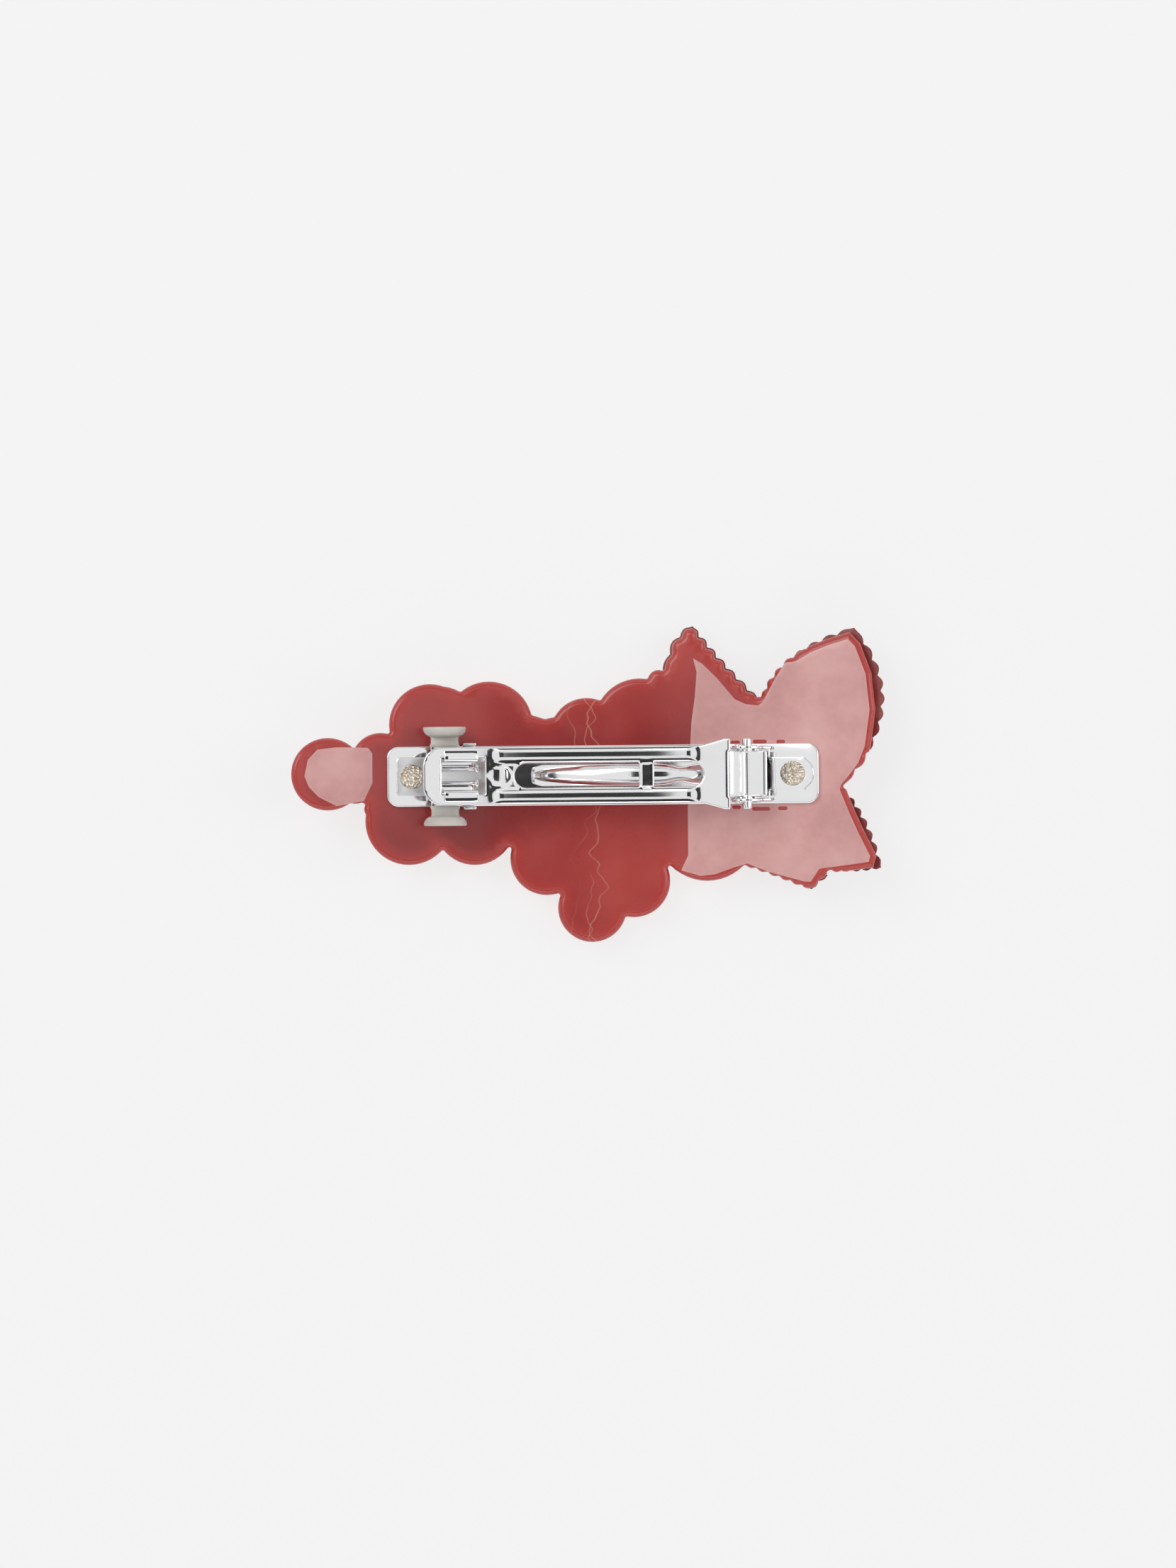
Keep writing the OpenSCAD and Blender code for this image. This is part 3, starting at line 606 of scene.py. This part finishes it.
def makeLeafFront(number, base, tip):
    # Veins are bell-shaped grooves repeated along the midrib and swept forward with the distance off
    # it, and the midrib is one bell-shaped groove of that distance.
    along = np.array(tip, dtype=float) - base
    along /= np.linalg.norm(along)

    def low(x, y, distance):
        run = (x - base[0]) * along[0] + (y - base[1]) * along[1]
        off = np.abs((x - base[0]) * along[1] - (y - base[1]) * along[0])
        vein = np.exp(-((np.mod(run - 0.9 * off, leaf["veinStep"]) - 1) / leaf["veinHalf"]) ** 2)
        rib = np.exp(-(off / leaf["ribHalf"]) ** 2)
        return leaf["low"] + leaf["veinDepth"] * np.maximum(vein * 0.7, rib) * np.clip(distance, 0, 1)
    node = f"leaf_front_{number}"
    surface = plateSurface(loopsAt(node, leaf["low"])[:1], low, plate["low"], leaf["edgeFront"],
                           leaf["edgeBack"], step=0.11, grid=0.45)
    newPiece(f"leafFront{number}", surface, leafRed, "ornament", node, {"rim": surface[2]})


# Petals are domes with their tops at these (x, y) points, round each flower's centre.
petal = {"front": -4.5, "domeRadius": 18.0, "edge": 0.55, "foldDepth": 0.28, "folds": 26, "least": 0.25}
flowers = {
    "left": {"centre": (-20.0, 1.5),
             "petals": [(-28.9, 3.35), (-22, 8.5), (-13.8, 8.4), (-13.3, 1.3), (-15.9, -5.5), (-25, -4.9)]},
    "right": {"centre": (4.5, -3.2),
              "petals": [(-4.9, -0.8), (-0.2, 7), (7.2, 8.4), (16.5, -6.5), (6.2, -13.5), (0.4, -17.2),
                         (-5.9, -10.3)]},
}


def makePetal(side, number, top, centre):
    # The front is a sphere of the dome's radius, less shallow folds that are a cosine of the angle
    # about the flower's centre and fade in away from it.
    sphere, radius = petal["domeRadius"], bend["radius"]
    reach = radius - petal["front"] - sphere
    angle = math.asin(top[0] / (radius - petal["front"]))
    middle = np.array([reach * math.sin(angle), top[1], bend["axisHeight"] - reach * math.cos(angle)])

    def low(x, y, distance):
        z = middle[2] - np.sqrt(np.maximum(sphere ** 2 - (x - middle[0]) ** 2 - (y - middle[1]) ** 2, 1))
        h = radius - np.hypot(x, bend["axisHeight"] - z)
        fan = np.arctan2(y - centre[1], x - centre[0])
        away = np.hypot(x - centre[0], y - centre[1])
        fold = 0.5 - 0.5 * np.cos(fan * petal["folds"])
        h = h + petal["foldDepth"] * fold * np.clip((away - 3) / 5, 0, 1)
        return np.minimum(h, plate["low"] - petal["least"])
    node = f"{side}_petal_{number}"
    surface = plateSurface(loopsAt(node, plate["low"])[:1], low, plate["low"], petal["edge"], 0.0,
                           step=0.2, grid=0.4)
    away = np.hypot(surface[0][:, 0] - centre[0], surface[0][:, 1] - centre[1])
    newPiece(f"{side}Petal{number}", surface, petalRed, "ornament", node,
             {"rim": surface[2], "away": np.clip((away - 3) / 10, 0, 1)})


flowerButton = {"foot": -2.3, "rise": 1.7, "radius": 3.1, "beadDepth": 0.14, "edge": 0.2}


def makeFlowerCentre(side, centre):
    # a low dome, the root of 1 less the square of the distance out, with beads that are a cosine of
    # that distance times a cosine of the angle
    def low(x, y, distance):
        out = np.hypot(x - centre[0], y - centre[1])
        fan = np.arctan2(y - centre[1], x - centre[0])
        bead = np.cos(out * 5.2) * np.cos(fan * 9 + np.round(out / 0.6) * 1.1)
        dome = np.sqrt(np.clip(1 - (out / flowerButton["radius"]) ** 2, 0, 1))
        return (flowerButton["foot"] - flowerButton["rise"] * dome
                + flowerButton["beadDepth"] * bead * np.clip(distance, 0, 1))
    node = f"{side}_flower_centre"
    surface = plateSurface(loopsAt(node, plate["low"])[:1], low, plate["low"], flowerButton["edge"], 0.0,
                           step=0.2, grid=0.22)
    newPiece(f"{side}FlowerCentre", surface, pinkPanel, "ornament", node, {"rim": surface[2]})


bud = {"centre": (-36.2, 1.75), "rippleDepth": 0.12, "edgeFront": 0.6, "edgeBack": 0.1}


def makeBudFront():
    # round ripples, a cosine of the distance from the bud's centre
    def outFrom(x, y):
        return np.hypot(x - bud["centre"][0], y - bud["centre"][1])

    def low(x, y, distance):
        ripple = 0.5 - 0.5 * np.cos(outFrom(x, y) * 3.2)
        return leaf["low"] + bud["rippleDepth"] * ripple * np.clip(distance, 0, 1)
    surface = plateSurface(loopsAt("bud_front", leaf["low"])[:1], low, plate["low"], bud["edgeFront"],
                           bud["edgeBack"], grid=0.4)
    away = np.clip(outFrom(surface[0][:, 0], surface[0][:, 1]) / 6, 0, 1)
    newPiece("budFront", surface, petalRed, "ornament", "bud_front",
             {"rim": surface[2], "away": away})


makeBackPlate()
makePanel("leafPanel", "leaf_inlay")
makePanel("budPanel", "bud_inlay")
for number, (base, tip) in enumerate(leaf["lines"], 1):
    makeLeafFront(number, base, tip)
for side, flower in flowers.items():
    for number, top in enumerate(flower["petals"], 1):
        makePetal(side, number, top, flower["centre"])
for side, flower in flowers.items():
    makeFlowerCentre(side, flower["centre"])
makeBudFront()
print("stage: ornament made")


# The hinge's and the catch's own frames on the bend. Round parts below are (out, along) profiles or
# radii about the arm's axis, the bar's axis and the jaws' feet.
hinge = {"x": 22.0, "height": 4.7, "lugRadius": 0.7, "lugFrom": 2.9, "lugTo": 4.88}
barHinge = {"along": -1.5, "height": 2.45, "knuckle": 0.85, "knuckleHalf": 3.2, "lug": 0.5, "lugHalf": 4.1}
jawFoot = {"x": -17.6, "height": 7.4, "pivotOff": 1.0, "pivotHeight": 1.65, "radius": 0.3, "half": 3.0}
atHinge = localPlace(hinge["x"], hinge["height"])
atJaws = localPlace(jawFoot["x"], jawFoot["height"])

baseStrip = {"low": 0.0, "high": 0.8, "edgeLow": 0.1, "edgeHigh": 0.22}


def makeBaseStrip():
    surface = plateSurface(loopsAt("base_strip", baseStrip["high"]), baseStrip["low"], baseStrip["high"],
                           baseStrip["edgeLow"], baseStrip["edgeHigh"], step=0.2)
    newPiece("baseStrip", surface, platedSteel, "ornament", "base_strip")


# The bracket sheet lies on the base strip. Tabs are (along, across, up) in size.
bracketSheet = {"low": 0.8, "high": 1.2, "edgeLow": 0.02, "edgeHigh": 0.12}
catch = {"tabAlong": 1.7, "tabOff": 4.4, "tabMiddle": 2.15, "tabSize": (1.8, 0.4, 2.1), "tabEdge": 0.1,
         "earAlong": 2.75,
         "ear": [(0.38, -0.2), (0.6, -0.2), (0.65, -0.15), (0.65, 0.15), (0.6, 0.2), (0.38, 0.2)]}


def bracketFloor(node):
    sheet = bracketSheet
    return plateSurface(loopsAt(node, sheet["low"]), sheet["low"], sheet["high"], sheet["edgeLow"],
                        sheet["edgeHigh"], step=0.2)


def guideTab(side):
    # a short ribbon that stands up beside the jaw
    along, across, up = catch["tabSize"]
    heights = np.linspace(catch["tabMiddle"] - up / 2, catch["tabMiddle"] + up / 2, 9)
    path = np.stack([np.full(9, catch["tabAlong"]), heights], axis=1)
    return ribbonSurface(path, across, along, catch["tabEdge"], atJaws, middle=side * catch["tabOff"])


def makeCatchPlate():
    parts = [bracketFloor("catch_plate")]
    for side in (-1, 1):
        parts.append(guideTab(side))
        for along in (-catch["earAlong"], catch["earAlong"]):
            origin = (along, side * jawFoot["pivotOff"], jawFoot["pivotHeight"])
            parts.append(ringSurface(catch["ear"], origin, (1, 0, 0), atJaws))
    newPiece("catchPlate", joined(parts), satinSteel, "ornament", "catch_plate")


# An ear is a round dome about the arm's axis on a foot, with a hole for each hinge.
ear = {"middle": 3.65, "thick": 0.4, "edge": 0.09, "domeRadius": 2.2, "armHole": 0.78, "barHole": 0.58,
       "foot": [(-2.35, 1.15), (3.05, 1.15), (3.05, 2.2), (2.2, 4.2)], "back": [(-2.3, 3.8), (-2.35, 3.4)]}


def circleLine(along, height, radius, turn):
    return np.stack([along + radius * np.cos(turn), height + radius * np.sin(turn)], axis=1)


def hingeEar(side):
    turn = np.linspace(math.radians(-8), math.radians(188), 40)[1:-1]
    dome = circleLine(0, hinge["height"], ear["domeRadius"], turn)
    circle = np.linspace(0, -2 * math.pi, 40, endpoint=False)
    holes = [circleLine(0, hinge["height"], ear["armHole"], circle),
             circleLine(barHinge["along"], barHinge["height"], ear["barHole"], circle)]
    half = ear["thick"] / 2

    def place(along, height, out):
        return atHinge(along, side * ear["middle"] - out, height)
    return plateSurface([np.concatenate([ear["foot"], dome, ear["back"]])] + holes, -half, half, ear["edge"],
                        ear["edge"], place, step=0.12, grid=0.6, rings=3)


def makeHingeBracket():
    surface = joined([bracketFloor("hinge_bracket"), hingeEar(-1), hingeEar(1)])
    newPiece("hingeBracket", surface, platedSteel, "ornament", "hinge_bracket")


# shank and turned-over edge as (out, height) points, then a crown that falls by the square of the share out
rivet = {"edge": [(0.02, -1.35), (0.95, -1.35), (0.99, -1.3), (0.99, 1.215), (1.62, 1.215), (1.69, 1.3),
                  (1.7, 1.42), (1.64, 1.56), (1.55, 1.66)],
         "top": 1.9, "crownRadius": 1.45, "crownRise": 0.16, "catchX": -24.7, "hingeX": 28.6}


def makeRivet(name, node, x):
    out = np.linspace(0.02, rivet["crownRadius"], 9)
    crown = np.stack([out, rivet["top"] - rivet["crownRise"] * (out / rivet["crownRadius"]) ** 2], axis=1)
    surface = turnedSurface(np.concatenate([rivet["edge"], crown[::-1]]), (0, 0, 0), (0, 0, 1),
                            localPlace(x, 0.0), 56)
    newPiece(name, surface, hammeredSteel, "ornament", node)


makeBaseStrip()
makeCatchPlate()
makeHingeBracket()
makeRivet("catchRivet", "catch_rivet", rivet["catchX"])
makeRivet("hingeRivet", "hinge_rivet", rivet["hingeX"])
print("stage: base made")


# The neck comes down from the arm's flared end to its axis as (along, height) points.
arm = {"low": 6.6, "high": 7.4, "edgeLow": 0.12, "edgeHigh": 0.22, "half": 4.0, "slotHalf": 1.7,
       "railRise": 0.3, "railFrom": -13.4, "railTo": 15.2, "railEnd": 1.2,
       "ovalX": -12.3, "ovalHalf": (1.4, 1.5), "ovalShare": 0.7,
       "neckWidth": 6.4, "neckThick": 0.78, "neckEdge": 0.2,
       "neck": [(-2.75, 7.0), (-2.35, 6.98), (-2.0, 6.8), (-1.7, 6.45), (-1.35, 5.95), (-1.0, 5.4), (-0.7, 5.0),
                (-0.35, 4.76), (0.1, 4.7), (0.8, 4.7), (1.6, 4.7), (2.3, 4.7), (2.8, 4.7)]}


def railHeight(x, y):
    # A rail on each side of the slots is 1 less the square of the share of its half width, raised to
    # 0.7, and fades out at its ends. A pressed oval is the root of 1 less its own squares.
    off = y - bend["claspY"]
    middle, half = (arm["slotHalf"] + arm["half"]) / 2, (arm["half"] - arm["slotHalf"]) / 2
    across = np.clip(1 - ((np.abs(off) - middle) / half) ** 2, 0, 1) ** 0.7
    fadeIn = np.clip((x - arm["railFrom"]) / arm["railEnd"], 0, 1)
    fadeOut = np.clip((arm["railTo"] - x) / arm["railEnd"], 0, 1)
    long, wide = arm["ovalHalf"]
    oval = np.sqrt(np.clip(1 - ((x - arm["ovalX"]) / long) ** 2 - (off / wide) ** 2, 0, 1))
    return arm["railRise"] * np.maximum(across * fadeIn * fadeOut, oval * arm["ovalShare"])


def makeArm():
    def low(x, y, distance):
        return arm["low"] + 0.9 * railHeight(x, y)

    def high(x, y, distance):
        return arm["high"] + railHeight(x, y)
    parts = [plateSurface(loopsAt("arm", arm["low"]), low, high, arm["edgeLow"], arm["edgeHigh"],
                          step=0.15, grid=0.4, rings=4),
             ribbonSurface(arm["neck"], arm["neckWidth"], arm["neckThick"], arm["neckEdge"], atHinge)]
    lug = pinProfile(hinge["lugRadius"], hinge["lugFrom"], hinge["lugTo"], 0.16)
    for side in (-1, 1):
        parts.append(turnedSurface(lug, (0, 0, hinge["height"]), (0, side, 0), atHinge, 36))
    newPiece("armBar", joined(parts), platedSteel, "arm", "arm")


# The bar's width is less at its waist, which is at a share of its length, and at its tip.
bar = {"width": 3.0, "thick": 0.4, "edge": 0.14, "rise": 2.9, "crown": 0.35, "tipHeight": 1.8, "points": 60,
       "waistAt": 0.72, "waistSpread": 0.05, "waistLoss": 0.9, "tipSpread": 0.05, "tipLoss": 0.7}


def makeTensionBar():
    # A circle through the tip and the root whose middle stands a rise over their chord: its radius is
    # (half chord squared + rise squared) over twice the rise.
    root = atHinge(barHinge["along"], 0.0, barHinge["height"])[[0, 2]]
    tip = onBend(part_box("tension_bar")[0][0] * 1000 + 0.05, 0.0, bar["tipHeight"])[[0, 2]]
    chord = root - tip
    half, rise = np.linalg.norm(chord) / 2, bar["rise"]
    radius = (half ** 2 + rise ** 2) / (2 * rise)
    up = np.array([-chord[1], chord[0]]) / (2 * half)
    centre = (root + tip) / 2 + up * (rise - radius)
    start, end = (math.atan2(*(end - centre)[::-1]) for end in (tip, root))
    turn = np.linspace(start, end, bar["points"])
    path = centre + radius * np.stack([np.cos(turn), np.sin(turn)], axis=1)
    share = np.linspace(0, 1, bar["points"])
    waist = bar["waistLoss"] * np.exp(-((share - bar["waistAt"]) / bar["waistSpread"]) ** 2)
    nose = bar["tipLoss"] * np.clip((bar["tipSpread"] - share) / bar["tipSpread"], 0, 1)
    widths = bar["width"] - waist - nose
    origin = (root[0], 0.0, root[1])
    knuckle = pinProfile(barHinge["knuckle"], -barHinge["knuckleHalf"], barHinge["knuckleHalf"], 0.2)
    lugs = pinProfile(barHinge["lug"], -barHinge["lugHalf"], barHinge["lugHalf"], 0.15)
    parts = [ribbonSurface(path, bar["width"], bar["thick"], bar["edge"], clasp, widths=widths,
                           crown=bar["crown"]),
             turnedSurface(knuckle, origin, (0, 1, 0), clasp, 36),
             turnedSurface(lugs, origin, (0, 1, 0), clasp, 30)]
    newPiece("tensionBar", joined(parts), platedSteel, "tension_bar", "tension_bar")


makeArm()
makeTensionBar()
print("stage: arm made")


# Hook and wing are (off the middle line, height) corners, and the wing sits at wingMiddle along the clasp.
jaw = {"thick": 0.4, "edge": 0.13, "hook": [(1.0, 1.65), (2.15, 1.72), (2.15, 7.8), (3.55, 7.78)],
       "hookWidth": 4.7, "hookBend": 0.28, "wing": [(2.2, 3.6), (4.2, 3.6), (5.95, 3.6)], "wingWidth": 3.9,
       "wingBend": 0.3, "wingMiddle": -1.85, "discOff": 5.8, "discRadius": 2.35, "discThick": (0.02, 0.38)}


def easedLine(corners, radius):
    # straight runs with each corner replaced by a parabola between points this far either side of it
    corners = np.asarray(corners, dtype=float)
    parts = [corners[:1]]
    t = np.linspace(0, 1, 9)[:, None]
    for before, corner, after in zip(corners[:-2], corners[1:-1], corners[2:]):
        a = corner + (before - corner) / np.linalg.norm(before - corner) * radius
        b = corner + (after - corner) / np.linalg.norm(after - corner) * radius
        parts.append((1 - t) ** 2 * a + 2 * t * (1 - t) * corner + t ** 2 * b)
    return np.concatenate(parts + [corners[-1:]])


def besideJaws(side):
    # the catch's frame with distance off the middle line first, on one side of the clasp
    def place(off, along, height):
        return atJaws(along, side * off, height)
    return place


def makeJaw(label, side):
    place = besideJaws(side)
    wingHeight = jaw["wing"][0][1]
    parts = [ribbonSurface(easedLine(jaw["hook"], jaw["hookBend"]), jaw["hookWidth"], jaw["thick"], jaw["edge"],
                           place),
             ribbonSurface(easedLine(jaw["wing"], jaw["wingBend"]), jaw["wingWidth"], jaw["thick"], jaw["edge"],
                           place, middle=jaw["wingMiddle"]),
             turnedSurface(pinProfile(jaw["discRadius"], *jaw["discThick"], 0.1),
                           (jaw["discOff"], jaw["wingMiddle"], wingHeight), (1, 0, 0), place, 48),
             turnedSurface(pinProfile(jawFoot["radius"], -jawFoot["half"], jawFoot["half"], 0.08),
                           (jawFoot["pivotOff"], 0.0, jawFoot["pivotHeight"]), (0, 1, 0), place, 24)]
    newPiece("jaw" + label.capitalize(), joined(parts), platedSteel, "jaw_" + label, "jaw_" + label)


# The dished disc is (out, off the middle line) points. The sleeve grips the wing and has a waist.
pad = {"disc": [(0.02, 6.42), (0.8, 6.45), (1.6, 6.55), (2.3, 6.72), (2.7, 6.86), (2.88, 6.86), (2.98, 6.74),
                (2.99, 6.5), (2.9, 6.2), (2.6, 5.8), (2.2, 5.58), (1.8, 5.52), (0.02, 5.51)],
       "height": 3.6, "sleeveFrom": 4.02, "sleeveTo": 5.95, "sleeveWidth": 4.3, "sleeveThick": 1.1,
       "sleeveEdge": 0.4, "waist": 0.5, "points": 12}


def makePad(label, side):
    place = besideJaws(side)
    count = pad["points"]
    sleeve = np.stack([np.linspace(pad["sleeveFrom"], pad["sleeveTo"], count), np.full(count, pad["height"])],
                      axis=1)
    widths = pad["sleeveWidth"] - pad["waist"] * np.sin(np.linspace(0, math.pi, count))
    parts = [turnedSurface(pad["disc"], (0, jaw["wingMiddle"], pad["height"]), (1, 0, 0), place, 64),
             ribbonSurface(sleeve, pad["sleeveWidth"], pad["sleeveThick"], pad["sleeveEdge"], place,
                           middle=jaw["wingMiddle"], widths=widths)]
    newPiece("pad" + label.capitalize(), joined(parts), padPlastic, "jaw_" + label, "pad_" + label)


for label, side in (("upper", 1), ("lower", -1)):
    makeJaw(label, side)
    makePad(label, side)
print("stage: catch made")


# From here on, places and sizes are in metres. The glow share is how much of the floor's tone is its own.
studioFloor = {"half": 3.0, "level": -0.0002, "tone": 0.88, "glow": 0.945, "glowShare": 0.8}
# dark cards round the clip that show only in its reflections, by their corners
cardTone = 0.02
darkCards = {
    "cardAbove": [(-0.15, -0.2, 1.1), (0.17, -0.2, 1.1), (0.17, 0.3, 1.1), (-0.15, 0.3, 1.1)],
    "cardFront": [(-0.5, -0.75, 0.75), (0.5, -0.75, 0.75), (0.5, -0.45, 0.95), (-0.5, -0.45, 0.95)],
    "cardBack": [(-0.4, 0.62, 0.5), (0.4, 0.62, 0.5), (0.4, 0.45, 0.62), (-0.4, 0.45, 0.62)],
    "cardLeft": [(-0.75, -0.3, 0.55), (-0.75, 0.3, 0.55), (-0.62, 0.3, 0.7), (-0.62, -0.3, 0.7)],
    "cardRight": [(0.5, -0.3, 0.85), (0.5, 0.3, 0.85), (0.4, 0.3, 0.95), (0.4, -0.3, 0.95)],
}
# each soft light's place, size and power, all turned towards the clip
lamps = {
    "topLeft": ((-0.55, 0.45, 0.9), (0.7, 0.7), 4.2),
    "right": ((0.75, 0.1, 0.75), (0.5, 0.9), 2.4),
    "front": ((0.0, -0.9, 0.7), (1.2, 0.4), 1.8),
}
worldLevel = {"onSurfaces": 0.4, "seen": 0.9}
cameraPlace = {"distance": 0.9, "planeHeight": 0.008, "frameHeight": 0.2179, "roll": 0.525,
               "middle": (-0.00006, 0.00007)}


def flatCard(name, corners, material):
    mesh = bpy.data.meshes.new(name)
    mesh.from_pydata(corners, [], [(0, 1, 2, 3)])
    mesh.materials.append(material)
    card = bpy.data.objects.new(name, mesh)
    bpy.context.scene.collection.objects.link(card)
    return card


def makePaleFloor():
    # matt paint that takes the shadow, mixed with its own glow, and clear from below so that the
    # ornament's front can be looked at
    tone = studioFloor["tone"]
    material, tree, shader = newMaterial("paleFloor", **{"Roughness": 0.9, "Specular IOR Level": 0.1,
                                                         "Base Color": (tone, tone, tone, 1)})
    glow = tree.nodes.new("ShaderNodeEmission")
    glow.inputs["Color"].default_value = (studioFloor["glow"],) * 3 + (1,)
    clear = tree.nodes.new("ShaderNodeBsdfTransparent")
    side = tree.nodes.new("ShaderNodeNewGeometry")
    top = tree.nodes.new("ShaderNodeMixShader")
    top.inputs[0].default_value = studioFloor["glowShare"]
    whole = tree.nodes.new("ShaderNodeMixShader")
    tree.links.new(shader.outputs[0], top.inputs[1])
    tree.links.new(glow.outputs[0], top.inputs[2])
    tree.links.new(side.outputs["Backfacing"], whole.inputs[0])
    tree.links.new(top.outputs[0], whole.inputs[1])
    tree.links.new(clear.outputs[0], whole.inputs[2])
    tree.links.new(whole.outputs[0], tree.nodes["Material Output"].inputs[0])
    return material


def makeStudio():
    half, level = studioFloor["half"], studioFloor["level"]
    corners = [(-half, -half, level), (half, -half, level), (half, half, level), (-half, half, level)]
    flatCard("floor", corners, makePaleFloor())
    dark = newMaterial("darkCard", **{"Base Color": (cardTone, cardTone, cardTone, 1), "Roughness": 0.9})[0]
    for name, corners in darkCards.items():
        card = flatCard(name, corners, dark)
        card.visible_shadow = card.visible_diffuse = card.visible_camera = False


def makeLight():
    # The world is white to the camera, in reflections and through clear plastic, and lower on surfaces.
    for name, (place, size, power) in lamps.items():
        lamp = bpy.data.lights.new(name, "AREA")
        lamp.shape = "RECTANGLE"
        lamp.size, lamp.size_y, lamp.energy = size[0], size[1], power
        item = bpy.data.objects.new(name, lamp)
        item.location = place
        item.rotation_euler = (-Vector(place)).to_track_quat("-Z", "Y").to_euler()
        bpy.context.scene.collection.objects.link(item)
    world = bpy.data.worlds.new("studio")
    bpy.context.scene.world = world
    world.use_nodes = True
    tree = world.node_tree
    paths = tree.nodes.new("ShaderNodeLightPath").outputs
    seen = mathNode(tree, "MAXIMUM", paths["Is Camera Ray"], paths["Is Glossy Ray"])
    seen = mathNode(tree, "MAXIMUM", seen, paths["Is Transmission Ray"])
    level = remap(tree, seen, 0, 1, worldLevel["onSurfaces"], worldLevel["seen"])
    background = tree.nodes["Background"]
    background.inputs["Color"].default_value = (1, 1, 1, 1)
    tree.links.new(level, background.inputs["Strength"])


def makeCamera():
    data = bpy.data.cameras.new("camera")
    data.sensor_width = 36
    data.lens = data.sensor_width * cameraPlace["distance"] / cameraPlace["frameHeight"]
    data.clip_start, data.clip_end = 0.01, 20
    item = bpy.data.objects.new("camera", data)
    item.location = (*cameraPlace["middle"], cameraPlace["distance"] + cameraPlace["planeHeight"])
    item.rotation_euler = (0, 0, -math.radians(cameraPlace["roll"]))
    bpy.context.scene.collection.objects.link(item)
    bpy.context.scene.camera = item


makeStudio()
makeLight()
makeCamera()
bpy.context.scene.view_settings.view_transform = "Standard"
print("stage: floor, light and camera made")
